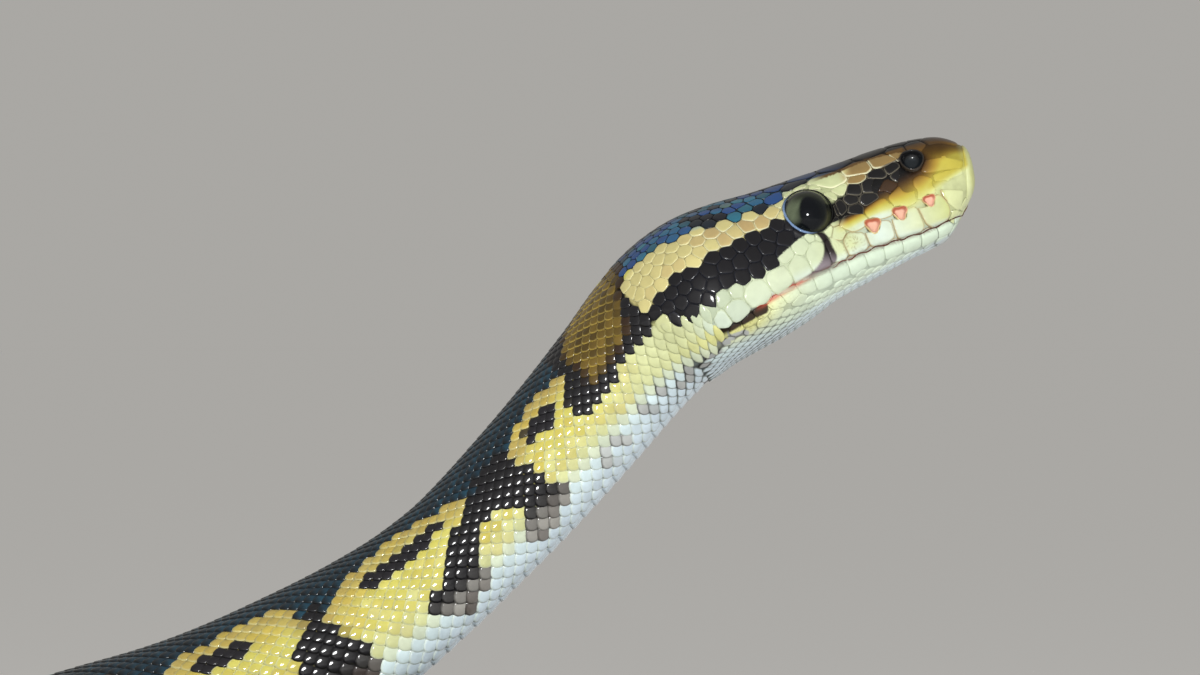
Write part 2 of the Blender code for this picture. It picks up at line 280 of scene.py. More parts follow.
def hide(s, angle):
    """The outer face of the animal: the section's superellipse seen from its widest height,
    radius = (|sin/half|^n + |cos/reach|^n)^(-1/n), with the relief of the head, sunk under the eyeball and
    raised in a rim round it. It is pressed flat on the floor."""
    place = np.clip(s, 0.01, BODY_LENGTH) / BONE_STEP
    row = place.astype(int)
    share = (place - row)[..., None]
    bones = BONES[row] * (1 - share) + BONES[row + 1] * share
    crown, belly, half, widest, upper, lower = (bones[..., i] for i in range(9, 15))
    sine, cosine = np.sin(np.radians(angle)), np.cos(np.radians(angle))
    square = np.where(cosine >= 0, upper, lower)
    reach = np.where(cosine >= 0, crown - widest, belly + widest)
    radius = (np.abs(sine / half) ** square + np.abs(cosine / reach) ** square) ** (-1 / square)
    turned = wrap(angle)
    on_head = s < HEAD_RELIEF
    if on_head.any():
        radius = radius + np.where(on_head, relief(s, np.abs(turned), radius), 0)
    middle, up, right = (bones[..., i : i + 3] for i in (0, 3, 6))
    out = right * (radius * sine)[..., None] + up * (widest + radius * cosine)[..., None]
    point = middle + out
    if on_head.any():
        eye = np.where((turned >= 0)[..., None], EYES[1], EYES[-1])
        away = length(point - eye) - EYE_RADIUS
        lift = 0.14 * bell(away - 0.4, 0.3) - 0.75 * fall(away, -0.12, 0.12)
        point = point + unit(out) * np.where(on_head, lift, 0)[..., None]
    point[..., 2] = np.maximum(point[..., 2], 0)
    return point


def hide_frame(s, angle):
    """The hide's point, its steps along the body and round it (per mm and per degree), and its outward
    normal, all from central differences."""
    ds, da = 0.12, 0.6
    ahead = np.maximum(s - ds, 0.01)
    along = (hide(s + ds, angle) - hide(ahead, angle)) / (s + ds - ahead)[..., None]
    round_ = (hide(s, angle + da) - hide(s, angle - da)) / (2 * da)
    return hide(s, angle), along, round_, unit(np.cross(along, round_))


def hide_axes(s, angle):
    """The hide's point, the unit way tailwards, the unit way round the body at right angles to that, the
    normal, and then the steps of hide_frame."""
    foot, along, round_, normal = hide_frame(s, angle)
    way = unit(along)
    return foot, way, unit(round_ - way * dot(round_, way)[..., None]), normal, along, round_


def coat_depth(s):
    """How far the skin lies under the tops of the scales."""
    return np.where(s < 36, 0.17, 0.16 * smooth(s, PITCH) + 0.03)


def dye(red, green, blue):
    """A screen colour of 0 to 255 as the linear colour that shaders take."""
    c = np.array([red, green, blue]) / 255
    return np.where(c <= 0.04045, c / 12.92, ((c + 0.055) / 1.055) ** 2.4)


# The markings of the right side of the head and neck: closed outlines of (distance, angle from the back)
CREAM_STRIPE = [
    (6, 27), (10, 24), (14, 30), (18.8, 33), (21, 42), (26, 46), (31, 44.5), (33.5, 41), (35.6, 43),
    (36.5, 52), (36.6, 63), (36, 72), (34.4, 69), (30, 66), (24.5, 60), (21.3, 54), (18, 52), (14.8, 49),
    (12.5, 43), (10.3, 36), (8, 34), (6.4, 32),
]
EYE_STRIPE = [
    (4.9, 36), (6.6, 31), (8, 33.5), (10.3, 36), (12.3, 42), (14.8, 49), (18, 52), (21.3, 54), (24.5, 60),
    (30, 66), (34.4, 69), (36, 72), (36.6, 63), (36.5, 52), (35.6, 43), (36, 0), (46.2, 0), (46.4, 50),
    (46.7, 60), (47.9, 70), (48.8, 76), (48.4, 82), (47.6, 90), (46, 91.5), (43.7, 89.5), (41.4, 86),
    (38.8, 84.5), (37.3, 83), (36.5, 80), (35.4, 83), (34.9, 91), (33, 91.5), (31, 88), (27.5, 86.5),
    (23.4, 79), (21.5, 74), (19.2, 66), (16.5, 64), (13, 61), (9.8, 51), (7.6, 47), (5.2, 47),
]
NAPE_SADDLE = [
    (34.9, -1), (35.2, 38), (36.7, 45), (37.3, 58), (38, 66), (38.6, 72), (40.2, 76), (42.5, 78),
    (44.4, 79), (45.6, 74), (44.6, 66), (44.5, 57), (45, 46), (44.6, 32), (43, 16), (42, -1),
]
TEAR_MARK = [
    (17.3, 66), (16.75, 72), (16.9, 80), (16.8, 88), (17.6, 93.5), (21.4, 95), (19.6, 91), (18.4, 86),
    (17.75, 80), (17.5, 73), (17.9, 66),
]
BAR_TWO = [
    (56, 50), (56.7, 60), (56, 70), (55.4, 85), (55.7, 96), (54.8, 110), (54.6, 124), (56, 130),
    (58.8, 120), (57, 130), (58.2, 134), (60.2, 131), (61.4, 121), (60, 112), (58.2, 104), (58.3, 98),
    (59.8, 88), (61.5, 82), (63.4, 87), (65.2, 95), (66, 110), (66.2, 122), (68.4, 134), (70.8, 134),
    (72.8, 116), (72.3, 101), (70.4, 94), (69.2, 88), (67.6, 78), (65.3, 68), (61.3, 58), (60, 48),
]
PATCH_THREE = [
    (81, 50), (82.2, 58), (82.4, 68), (80.2, 87), (79.5, 102), (79.4, 120), (81.5, 128), (86, 124),
    (88.4, 108), (87, 93), (86.7, 84), (85, 74), (84.2, 62), (84.6, 50),
]
SPOTS = [
    [(54, 63), (53.8, 57), (51.3, 55.5), (49.9, 52), (49.2, 58), (49, 64), (49.8, 69.5), (50.8, 71.5),
     (52, 69)],
    [(65.9, 54), (68.6, 50), (73, 50), (76.9, 53), (75.5, 61.5), (72, 61), (66.6, 57)],
    [(89.9, 54), (92.7, 50), (94.9, 51), (96.8, 54), (95.2, 60), (91.6, 60)],
]
# How far down from the back the dark band reaches, past the nape
BAND_EDGE = [
    (41, 0), (43.5, 26), (46.3, 52), (47, 43), (49, 41), (51.7, 41), (53.5, 48), (56.5, 58), (61.2, 58),
    (64, 48), (67, 37), (70.6, 32), (74.4, 34), (77.7, 42), (80.7, 50), (82.3, 60), (84.4, 52), (86.8, 37),
    (91.3, 36), (95.7, 41), (99.1, 45), (101, 56), (106, 58),
]
# The same for the left side and the trunk
BAND_EVEN = [(41, 0), (46, 40), (60, 40), (120, 38), (786, 30), (840, 60)]
# How far down the dark cap of the crown reaches
CROWN_EDGE = [
    (0, 12), (5, 22), (10, 22), (14, 26), (18.8, 31), (21, 40), (26, 45), (31, 43.5), (33.5, 40), (36, 42),
]
# The length along the body that one blotch of the flank and the gap behind it take
BLOTCH_PITCH = [(46, 19), (100, 24), (200, 32), (400, 44), (560, 46), (700, 32), (786, 20), (860, 12)]
# Short dark and grey strokes under the mouth: both ends, width in mm and how dark they are
STROKES = [
    (31.2, 104.5, 25.8, 101.5, 0.75, 1.0), (30.6, 112, 28.6, 113, 0.5, 0.45),
    (33, 112, 31.2, 114, 0.5, 0.5), (35.1, 119, 32.8, 119, 0.6, 0.6), (37.2, 124, 35, 126, 0.6, 0.6),
    (38.8, 128, 37.7, 132, 0.6, 0.55), (40.4, 126, 39.1, 130, 0.6, 0.55), (41.8, 121, 40.9, 125, 0.5, 0.45),
    (44, 125, 42.7, 130, 0.6, 0.5), (48.8, 124, 47.4, 130, 1.0, 0.3), (50.4, 131, 49, 137, 0.9, 0.3),
]
DEGREE = 0.13  # mm that one degree is taken for when a distance to an outline is measured
FAR_AWAY = 9.0  # the distance given to places that are not near an outline
AT_ONCE = 20000  # places measured in one go
BLACK, GREY = dye(13, 12, 17), dye(148, 146, 140)
# The teal of the band and the blue, teal and green of the crown are a painted iridescent sheen on dark
# scales
BAND_DARK, BAND_SHEEN_TEAL = dye(6, 19, 32), dye(22, 64, 82)
SHEEN_BLUE, SHEEN_TEAL, SHEEN_GREEN = dye(30, 68, 122), dye(44, 112, 134), dye(84, 110, 98)
BROWN, RED_BROWN, GOLD = dye(66, 50, 8), dye(44, 26, 10), dye(178, 154, 66)
TAN, YELLOW, WARM = dye(172, 147, 80), dye(201, 194, 94), dye(194, 170, 70)
CREAM, WHITE = dye(199, 204, 154), dye(204, 222, 224)
LIP_RED, PIT_PINK = dye(96, 40, 30), dye(226, 176, 152)


def outline_distance(s, angle, outline):
    """The signed distance in mm from a closed outline, negative inside it. The outline's corners are cut
    twice, and the sign is the parity of the edges that a line towards larger angles meets."""
    line = np.array(outline, float) * (1, DEGREE)
    for _ in range(2):
        following = np.roll(line, -1, 0)
        line = np.stack([0.75 * line + 0.25 * following, 0.25 * line + 0.75 * following], 1).reshape(-1, 2)
    step = np.roll(line, -1, 0) - line
    square = (step**2).sum(1)
    x, y = s, angle * DEGREE
    found = np.full(s.shape, FAR_AWAY)
    near = np.nonzero((x > line[:, 0].min() - 4) & (x < line[:, 0].max() + 4))[0]
    for some in np.array_split(near, max(1, len(near) // AT_ONCE)):
        dx, dy = x[some, None] - line[:, 0], y[some, None] - line[:, 1]
        t = np.clip((dx * step[:, 0] + dy * step[:, 1]) / square, 0, 1)
        away = np.sqrt(((dx - t * step[:, 0]) ** 2 + (dy - t * step[:, 1]) ** 2).min(1))
        crossing = (dx >= 0) != (dx - step[:, 0] >= 0)
        above = dy < dx * step[:, 1] / np.where(step[:, 0] == 0, 1e-9, step[:, 0])
        found[some] = np.where((crossing & above).sum(1) % 2 == 1, -away, away)
    return found


def cover(distance, soft=0.015):
    """1 well inside, 0 well outside."""
    return fall(distance, -soft, soft)


def mix(first, second, share):
    """Two colours, or rows of them, blended by a share or by a share for each row."""
    share = np.clip(np.asarray(share, float), 0, 1)[..., None]
    return first * (1 - share) + second * share


def gradient(x, places, colours):
    """A colour for each x: straight blends between the colours at the places."""
    return np.stack([np.interp(x, places, channel) for channel in np.array(colours).T], -1)


def blotches(first, last, side):
    """Where the pale blotches of one flank lie, with their shapes: middle, half length, top angle, lean,
    the phase of their wavy edge, and the place and size of the dark spot in them."""
    draw = np.random.default_rng(11 if side > 0 else 23)
    rows, at = [], first
    while at < last:
        pitch = float(smooth(np.array([at]), BLOTCH_PITCH)[0]) * draw.uniform(0.85, 1.18)
        half, top, lean = pitch * draw.uniform(0.33, 0.42), draw.uniform(30, 46), draw.uniform(-0.1, 0.1)
        phase, spot_s, spot_a = draw.uniform(0, 6.28), draw.uniform(-0.35, 0.35), draw.uniform(52, 68)
        rows.append((at + pitch / 2, half, top, lean, phase, spot_s, spot_a, draw.uniform(0.14, 0.26)))
        at += pitch
    return rows


RIGHT_FROM, LEFT_FROM, BLOTCHES_TO = 101, 47, 845  # where the flanks carry blotches
FLANKS = {1: blotches(RIGHT_FROM, BLOTCHES_TO, 1), -1: blotches(LEFT_FROM, BLOTCHES_TO, -1)}
HEAD_MARKS = 49  # the stripes of the head end in front of this
OUTLINED_FROM, OUTLINED_TO = 40, 103  # where the marks of the right side have outlines of their own
speckle = np.random.default_rng(5)
# Waves per mm and per degree, in radians, and their phase; each draw is of 24, and the first 12 are used
wave_limits = ((0.25, 1.1), (0.02, 0.3), (0, 6.28))
WAVES = np.stack([speckle.uniform(low, high, 24)[:12] for low, high in wave_limits], 1)


def cloud(s, angle, scale=1.0):
    """Smooth random patches between -1 and 1: a sum of slanted sine waves."""
    total = np.zeros(np.shape(s))
    for wave_s, wave_a, phase in WAVES:
        slanted = np.sin(scale * (wave_s * s + wave_a * angle) + phase)
        total += slanted * np.cos(scale * (wave_a * 2 * s - wave_s * 0.3 * angle) + 2 * phase)
    return total / 3.5


def painted_seam_shade(s, turn):
    """How much painted shade darkens the seams between scales beyond elsewhere: 0 or more on the throat,
    less than 0, for lighter seams, on the smooth plates of the lip behind the eye and of the snout."""
    throat = ramp(turn, 108, 120) * window(s, 17, 27, 40, 47)
    quiet = bell(turn - 88, 9) * window(s, 17, 19, 31, 34) + bell(turn - 60, 16) * fall(s, 6.5, 9)
    return 0.75 * throat - 0.3 * quiet


def markings(s, angle, chance):
    """The colour of the coat at each place, the colour of the rims of its scales, how far the rim keeps to
    the rear edge and how much painted shade darkens the rear half. chance is a random number of 0 to 1 for
    each scale.
    Light flanks come first, then the dark shapes over them."""
    angle = wrap(angle)
    side, turn = np.where(angle >= 0, 1, -1), np.abs(angle)
    patch, lip = cloud(s, angle), mouth_line(s)
    flank = gradient(turn, (60, 92, 110, 122, 136), (YELLOW, YELLOW, CREAM, WHITE, dye(196, 212, 222)))
    flank = mix(flank, CREAM, 0.5 * ramp(chance, 0.55, 1) * window(turn, 60, 80, 96, 108))
    nothing = np.zeros(s.shape)
    coat = {"base": flank, "rim": mix(flank, dye(226, 236, 214), 0.45), "rear": nothing, "rear_shade": nothing}

    def over(mask, colour, rim=None, rear=None, rear_shade=0.0):
        """Lay a colour over the coat by the mask, with a rim of its own or of the same colour, and with the
        painted shade of its rear half.
        """
        share = np.clip(mask, 0, 1)
        coat["base"] = mix(coat["base"], colour, mask)
        coat["rim"] = mix(coat["rim"], colour if rim is None else rim, mask)
        coat["rear_shade"] = coat["rear_shade"] * (1 - share) + rear_shade * share
        if rear is not None:
            coat["rear"] = coat["rear"] * (1 - share) + rear * share

    over(window(turn, 74, 86, 106, 116) * fall(s, 38, 47), CREAM)
    over(0.45 * ramp(patch, -0.4, 1.0) * window(turn, 66, 84, 106, 118) * ramp(s, 38, 46), WARM)

    # trunk, tail and the left side of the neck: pale blotches with dark spots in a dark ground
    made = np.where(side > 0, s > RIGHT_FROM, s > LEFT_FROM)
    edge = 118 + 7 * np.sin(s / 3.1 + side) * np.cos(s / 7.3) + 5 * cloud(s, angle, 0.5)
    ground = made * fall(turn - edge, -3, 3)
    pale, inner, spot = np.zeros((3, *s.shape))
    for which, rows in FLANKS.items():
        for middle_s, half, top, lean, phase, spot_s, spot_a, spot_r in rows:
            near = np.nonzero((side == which) & (np.abs(s - middle_s) < 1.5 * half) & made)[0]
            a = turn[near]
            wide = half * (0.62 + 0.38 * ramp(a, top, 95) + 0.10 * np.sin(a / 9 + phase))
            u = np.abs(s[near] - middle_s - lean * (a - 80) * half / 20) / wide
            v = np.clip((78 - a) / (78 - top), 0, None)
            reach = (u**2.6 + v**3) ** (1 / 2.6)
            spot_u = (s[near] - middle_s - spot_s * half) / (spot_r * 2.2 * half)
            spot_reach = np.hypot(spot_u, (a - spot_a) / (spot_r * 45))
            pale[near] = np.maximum(pale[near], fall(reach, 0.96, 1.04))
            inner[near] = np.maximum(inner[near], fall(reach, 0.45, 0.95))
            spot[near] = np.maximum(spot[near], fall(spot_reach, 0.9, 1.1))
    dark = mix(dye(24, 20, 22), dye(54, 38, 22), 0.6 * chance * ramp(s, 60, 140))
    over(ground, mix(dark, GREY * 0.6, ramp(turn, 104, 118)), BLACK * 0.8)
    inside = mix(CREAM, mix(TAN, YELLOW, ramp(turn, 40, 100)), inner)
    over(pale * ground, inside, mix(inside, CREAM, 0.35))
    over(spot * pale * ground, dye(34, 26, 20), BLACK)

    # the neck of the right side, and the dark band along the back
    right = (side > 0) & (s > OUTLINED_FROM) & (s <= OUTLINED_TO)
    beside = turn - np.where(right, smooth(s, BAND_EDGE), smooth(s, BAND_EVEN))
    over(fall(beside, 5, 32) * right * 0.9, mix(TAN, dye(170, 152, 88), chance), mix(TAN, CREAM, 0.5))
    over(ramp(patch, -0.6, 0.8) * fall(beside, 18, 52) * right * 0.55, WARM, mix(WARM, CREAM, 0.4))
    # The dark band along the back: dark scales with a painted teal sheen, dark rims at their rear edges and
    # rear halves darkened as painted shade
    band = mix(mix(BAND_DARK, BAND_SHEEN_TEAL, 0.3 + 0.5 * chance), dark, ramp(s, 100, 150))
    over((beside + 1.5 * cloud(s, angle, 1.3) < 0) * (s > 41), band, dye(2, 5, 10), 0.6, 0.8)
    dorsal = (np.abs(cloud(s * 0.35, nothing)) > 0.45) * (turn < 10 + 4 * np.sin(s / 5)) * (s > 130)
    over(dorsal * 0.85, dye(104, 84, 44), dye(60, 46, 24))
    faded = ramp(turn, 104, 122)
    bar = mix(BLACK, mix(dye(70, 60, 56), GREY, chance), faded)
    for outline in (BAR_TWO, PATCH_THREE):
        over(cover(outline_distance(s, turn, outline) - 0.05) * right, bar, mix(BLACK, bar * 0.6, faded))
    for outline, grown in zip(SPOTS, (0.1, 0.4, 0.4)):
        over(cover(outline_distance(s, turn, outline) - grown) * right, dye(22, 20, 26), BLACK)

    # the lips and the throat
    labial = gradient(s, (4, 8, 12, 15, 19, 24, 29), (
        dye(190, 196, 130), dye(202, 210, 172), dye(204, 218, 206), dye(196, 204, 156), dye(192, 203, 170),
        dye(202, 212, 180), dye(180, 192, 164)))
    labial = mix(labial, dye(204, 217, 200), ramp(turn - lip, -9, -2))
    labial_rim = mix(dye(180, 160, 116), dye(198, 208, 176), ramp(s, 15, 18))
    over((turn < lip + 1) * (s > 4) * fall(s, 32, 35), labial, labial_rim)
    below_lip = (turn >= lip) * fall(turn, lip + 16, lip + 34) * fall(s, 24, 28)
    over(below_lip, dye(202, 218, 196), dye(214, 228, 206))
    over(0.8 * (turn > lip) * bell(s - 29.5, 6) * bell(turn - 100, 13), dye(222, 216, 120))
    # Painted shade under the front of the chin: the pale underside there greyer
    over(0.6 * ramp(turn, 134, 152) * fall(s, 5, 9), dye(160, 158, 138))

    # the snout, from its dark stripe down to the cream lip
    stripe = outline_distance(s, turn, EYE_STRIPE)
    low_limit = 2.3 + 4 * ramp(turn, 66, 84) + 3 * ramp(s, 5, 8)
    high_limit = 0.75 + 1.8 * ramp(turn, 32, 58) + 0.5 * fall(s, 1.2, 3) + 4 * ramp(turn, 60, 78)
    fade = np.minimum(stripe * (1 + 2.2 * ramp(s, 7.5, 14)), np.minimum(low_limit, high_limit))
    amber = gradient(fade, (0, 0.5, 1.0, 1.7, 2.3, 3.2, 4.2), (
        dye(24, 14, 8), dye(64, 40, 12), dye(116, 84, 28), dye(168, 138, 50), dye(184, 172, 70),
        dye(200, 200, 118), dye(204, 210, 158)))
    amber = mix(amber, dye(192, 196, 134), fall(s, 0.6, 1.0))
    over(fall(s, 14.2, 16.2) * fall(turn, lip - 5, lip - 1) * (1 - ramp(fade, 3.2, 4.6) * (s > 4)), amber)
    over((s < 6) * fall(turn, 20, 34) * ramp(s, 0.7, 1.8), dye(66, 46, 24), dye(40, 30, 20))
    dots = np.sin(11 * s + 2 * np.sin(0.9 * turn)) * np.sin(1.5 * turn + 2 * np.sin(5 * s)) > 0.5
    dotted = bell(s - 14.9, 1.4) * bell(turn - 83, 8) + bell(s - 26.5, 3) * bell(turn - lip - 6, 5)
    over(0.5 * dots * dotted, dye(120, 100, 50))

    # the crown: dark scales with a painted blue, teal and green iridescent sheen
    shine = np.clip(0.8 * chance + 0.25 * patch + 0.1 * ramp(s, 24, 30), 0, 1)
    sheen = gradient(shine, (0.1, 0.3, 0.5, 0.62, 0.85, 1),
                     (dye(12, 16, 26), dye(18, 32, 46), SHEEN_TEAL, SHEEN_BLUE, SHEEN_BLUE, SHEEN_GREEN))
    cap = mix(dye(30, 28, 26), sheen, ramp(s, 10, 20) * (0.35 + 0.65 * ramp(turn, 6, 26)))
    over(fall(turn - smooth(s, CROWN_EDGE), -1, 1) * (s < 36.5) * ramp(s, 2.5, 5), cap, dye(8, 9, 13), 0.0)

    # the stripes through and over the eye, and the nape
    head = s < HEAD_MARKS
    over(cover(stripe) * head, BLACK, mix(BLACK, dye(40, 43, 54), s < 36), 0.3)
    over(cover(stripe, 0.15) * (s < 16.5) * (s > 6.4), dye(12, 11, 13), dye(128, 122, 106), 0.0)
    cream = outline_distance(s, turn, CREAM_STRIPE)
    worn = ramp(chance, 0.1, 0.8) * ramp(-cream, 0.1, 0.7) * (1 - 0.5 * ramp(s, 28, 32))
    centre = mix(dye(204, 194, 132), dye(174, 150, 102), worn)
    centre = mix(centre, dye(140, 116, 70), fall(s, 11.6, 12.6))
    centre = mix(centre, dye(192, 200, 152), window(s, 12.2, 13.4, 18.5, 21))
    over(cover(cream) * head, centre, mix(dye(222, 222, 186), dye(226, 222, 170), ramp(s, 27, 31)), 0.0)
    saddle = outline_distance(s, turn, NAPE_SADDLE)
    brown = mix(RED_BROWN, mix(BROWN, dye(112, 90, 32), chance), ramp(-saddle, 0.1, 0.5))
    over(cover(saddle), brown, mix(BROWN, GOLD, ramp(-saddle, 0.2, 1.4)), 0.7)
    tear = mix(dye(26, 18, 18), dye(132, 122, 128), ramp(turn + 3 * (s - 17), 82, 96))
    over(cover(outline_distance(s, turn, TEAR_MARK), 0.1), tear)
    for s1, a1, s2, a2, width, depth in STROKES:
        x, y, run, drop = s - s1, (turn - a1) * DEGREE, s2 - s1, (a2 - a1) * DEGREE
        along = np.clip((x * run + y * drop) / (run**2 + drop**2), 0, 1)
        away = np.hypot(x - along * run, y - along * drop)
        stroke = fall(away, width * 0.6, width * 0.75) * ((turn > lip - 1) | (s > MOUTH_CORNER))
        edge = mix(dye(150, 151, 146), BLACK, depth)
        over(stroke, mix(dye(188, 192, 190), dye(46, 32, 16), depth**2), edge)
    red = bell((turn - lip) * 0.14, 0.2) * window(s, 2.5, 4, 24.5, 27)
    over(red * 0.8, mix(LIP_RED, dye(196, 84, 66), ramp(s, 19, 22)))
    return coat["base"], coat["rim"], coat["rear"], coat["rear_shade"]


def net(rows, columns, closed_rows=False, closed_columns=True):
    """The quads between the points of a grid, four corners each. Its rows and columns may close in
    rings."""
    i, j = np.indices((rows - (not closed_rows), columns - (not closed_columns)))
    i2, j2 = (i + 1) % rows, (j + 1) % columns
    return np.stack([i * columns + j, i2 * columns + j, i2 * columns + j2, i * columns + j2], -1)


def tube_faces(rings, around):
    """Quads between the rings of a tube, and a fan at each end on the two points after the rings."""
    j = np.arange(around)
    k = (j + 1) % around
    last = (rings - 1) * around
    tip = rings * around
    fans = [tip + 0 * j, j, k], [tip + 1 + 0 * j, last + k, last + j]
    corners = np.concatenate([net(rings, around).ravel(), *(np.stack(fan, 1).ravel() for fan in fans)])
    return corners, np.repeat([4, 3], [last, 2 * around])


def disc_faces(rings, around):
    """A fan of triangles round the first point, and quads between the rings of points after it."""
    k = np.arange(around)
    fan = np.stack([0 * k, 1 + k, 1 + (k + 1) % around], 1)
    corners = np.concatenate([fan.ravel(), 1 + net(rings, around).ravel()])
    return corners, np.repeat([3, 4], [around, (rings - 1) * around])


def put(name, data):
    """A new object in the scene."""
    made = bpy.data.objects.new(name, data)
    bpy.context.scene.collection.objects.link(made)
    return made


def add_piece(name, points, faces, material, colour, uv=None):
    """A piece from points in mm and from faces: the corners of all faces in one list, and the sides of each
    face. Where points has a row of them for each scale, the faces are those of one scale."""
    each, sides = faces
    count = points.size // (3 * points.shape[-2])
    corners = (np.arange(count)[:, None] * points.shape[-2] + each).ravel()
    sides = np.tile(sides, count)
    starts = np.concatenate([[0], np.cumsum(sides)[:-1]])
    mesh = bpy.data.meshes.new(name)
    mesh.vertices.add(points.size // 3)
    mesh.vertices.foreach_set("co", (points * MM).astype(np.float32).ravel())
    mesh.loops.add(len(corners))
    mesh.loops.foreach_set("vertex_index", corners.astype(np.int32))
    mesh.polygons.add(len(sides))
    mesh.polygons.foreach_set("loop_start", starts.astype(np.int32))
    layer = mesh.color_attributes.new("Markings", "FLOAT_COLOR", "POINT")
    opaque = np.concatenate([colour, np.ones((len(colour), 1))], 1)
    layer.data.foreach_set("color", opaque.astype(np.float32).ravel())
    if uv is not None:
        layer = mesh.uv_layers.new(name="OFBake")
        layer.data.foreach_set("uv", uv.reshape(-1, 2)[corners].astype(np.float32).ravel())
    mesh.update(calc_edges=True)
    mesh.validate()
    mesh.shade_smooth()
    mesh.materials.append(material)
    made = put(name, mesh)
    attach(made, "root")
    return made


def set_inputs(node, values):
    for name, value in values.items():
        node.inputs[name].default_value = value


def keratin(name, roughness, bump, bump_scale, gloss, mottle):
    """Scale keratin or hide: the painted markings, mottled by fine noise, a thin glossy coat and a fine
    grain."""
    made = bpy.data.materials.new(name)
    made.use_nodes = True
    nodes, links = made.node_tree.nodes, made.node_tree.links
    shader = nodes["Principled BSDF"]
    kinds = ("Attribute", "TexCoord", "TexNoise", "TexNoise", "MapRange", "VectorMath", "Bump")
    paint, where, grain, fleck, shade, tint, dent = (nodes.new("ShaderNode" + kind) for kind in kinds)
    paint.attribute_name = "Markings"
    tint.operation = "SCALE"
    set_inputs(grain, {"Scale": bump_scale, "Detail": 3})
    set_inputs(fleck, {"Scale": 900, "Detail": 2})
    set_inputs(shade, {"From Min": 0.3, "From Max": 0.7, "To Min": 1 - mottle, "To Max": 1 + mottle})
    set_inputs(dent, {"Strength": bump, "Distance": 0.0001})
    set_inputs(shader, {"Roughness": roughness, "Specular IOR Level": 0.25, "Coat Weight": gloss,
                        "Coat Roughness": 0.07})
    for source, output, target, entry in (
        (where, "Object", grain, "Vector"), (where, "Object", fleck, "Vector"),
        (fleck, "Fac", shade, "Value"), (shade, "Result", tint, "Scale"),
        (paint, "Color", tint, 0), (tint, "Vector", shader, "Base Color"),
        (grain, "Fac", dent, "Height"), (dent, "Normal", shader, "Normal"),
    ):
        links.new(source.outputs[output], target.inputs[entry])
    return made


SKIN_AROUND = 128
TAIL_TIP = BODY_LENGTH - 0.2
shares = np.linspace(0, 1, 14)[1:]
skin_s = np.concatenate(
    [SNOUT_ROUND * shares**2.2, np.arange(1.45, 45, 0.25), np.arange(45, TAIL_TIP, 2.5), [TAIL_TIP]]
)
skin_angle = np.arange(SKIN_AROUND) * 360 / SKIN_AROUND
grid_s, grid_a = np.meshgrid(skin_s, skin_angle, indexing="ij")
point, _, _, normal = hide_frame(grid_s, grid_a)
under = coat_depth(grid_s)
for s0, a0, radius in PITS + [NOSTRIL]:
    for side in (1, -1):
        away = length(point - hide(np.array([s0]), np.array([side * a0])))
        under = under + 1.1 * radius * fall(away, 0.7 * radius, 1.15 * radius)
point = point - normal * under[..., None]
flat_s, flat_a = grid_s.ravel(), grid_a.ravel()
base = markings(flat_s, flat_a, np.full(flat_s.shape, 0.5))[0]
# The skin's colour: the markings darkened as painted shade in the seams between the scales, and more on the
# throat
seam = base * (0.45 + 0.3 * ramp(base.mean(1, keepdims=True), 0.15, 0.45))
seam = seam * (1 - painted_seam_shade(flat_s, np.abs(wrap(flat_a))))[:, None]
skin = add_piece("skin", np.concatenate([point.reshape(-1, 3), point[[0, -1]].mean(1)]),
                 tube_faces(len(skin_s), SKIN_AROUND), keratin("soft_hide", 0.5, 0.25, 3500, 0.05, 0.12),
                 np.concatenate([seam, seam[:1], seam[-1:]]))
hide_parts("head", "lower_jaw", "neck", "trunk_1", "trunk_2", "trunk_3", "trunk_4", "trunk_5",
            "trunk_6", "trunk_7", "trunk_8", "trunk_9", "tail")

# ----------------------------------------------------------------------------------------------------
# The body scales of the neck: small glossy domes of keratin in slanting rows, each free at its rear edge
# and laid over the front of the next ones. Each is a fan and rings round its middle, set on the hide.
SCALE_ROWS = 53
ROW_REACH = 150  # degrees from the back to the lowest row on each side
HEAD_END, CHEEK_END = 36.4, 31.2  # where the even rows begin behind the crown and behind the mouth's corner
TRUNK_FROM, TAIL_FROM = 116, 786
SCALES_TO, PLATES_TO = 859, 855  # where the scales and the belly plates end at the tail tip
UV_PATCH = 0.0015  # half the share of the map that one scale takes
# Rings of a scale: share of the outline, height on the dome
FINE_RINGS = [(0.34, 0.94), (0.66, 0.74), (0.9, 0.4), (1.0, -0.4)]


def row_angles():
    """The angle of each row of scales: rows stand evenly on the back and flanks and widen to the belly."""
    half = SCALE_ROWS // 2
    widths = 1 + np.clip((np.arange(1, half + 1) - 15) / (half - 15), 0, 1)
    reach = np.cumsum(widths) / widths.sum() * ROW_REACH
    return np.concatenate([-reach[::-1], [0], reach])


def rows_begin(angle):
    """Where the even rows begin at each angle: behind the head's own plates."""
    return HEAD_END - (HEAD_END - CHEEK_END) * window(np.abs(angle), 82, 92, 112, 120)


# The lattice of scales, its rings by its rows: the ring number grows by ds / pitch along the body, and
# every second row is moved on by half a pitch
ROWS = row_angles()
COUNT_STEP = 0.2
counted_s = np.arange(CHEEK_END - 1, BODY_LENGTH, COUNT_STEP)
counted = np.cumsum(COUNT_STEP / smooth(counted_s, PITCH))
ring_number = np.arange(int(counted[-1]))[:, None] + 0.5 * (np.arange(SCALE_ROWS) % 2)
LATTICE_S = np.interp(ring_number, counted, counted_s)
LATTICE_ANGLE, LATTICE_WIDE = (np.broadcast_to(row, LATTICE_S.shape) for row in (ROWS, np.gradient(ROWS)))


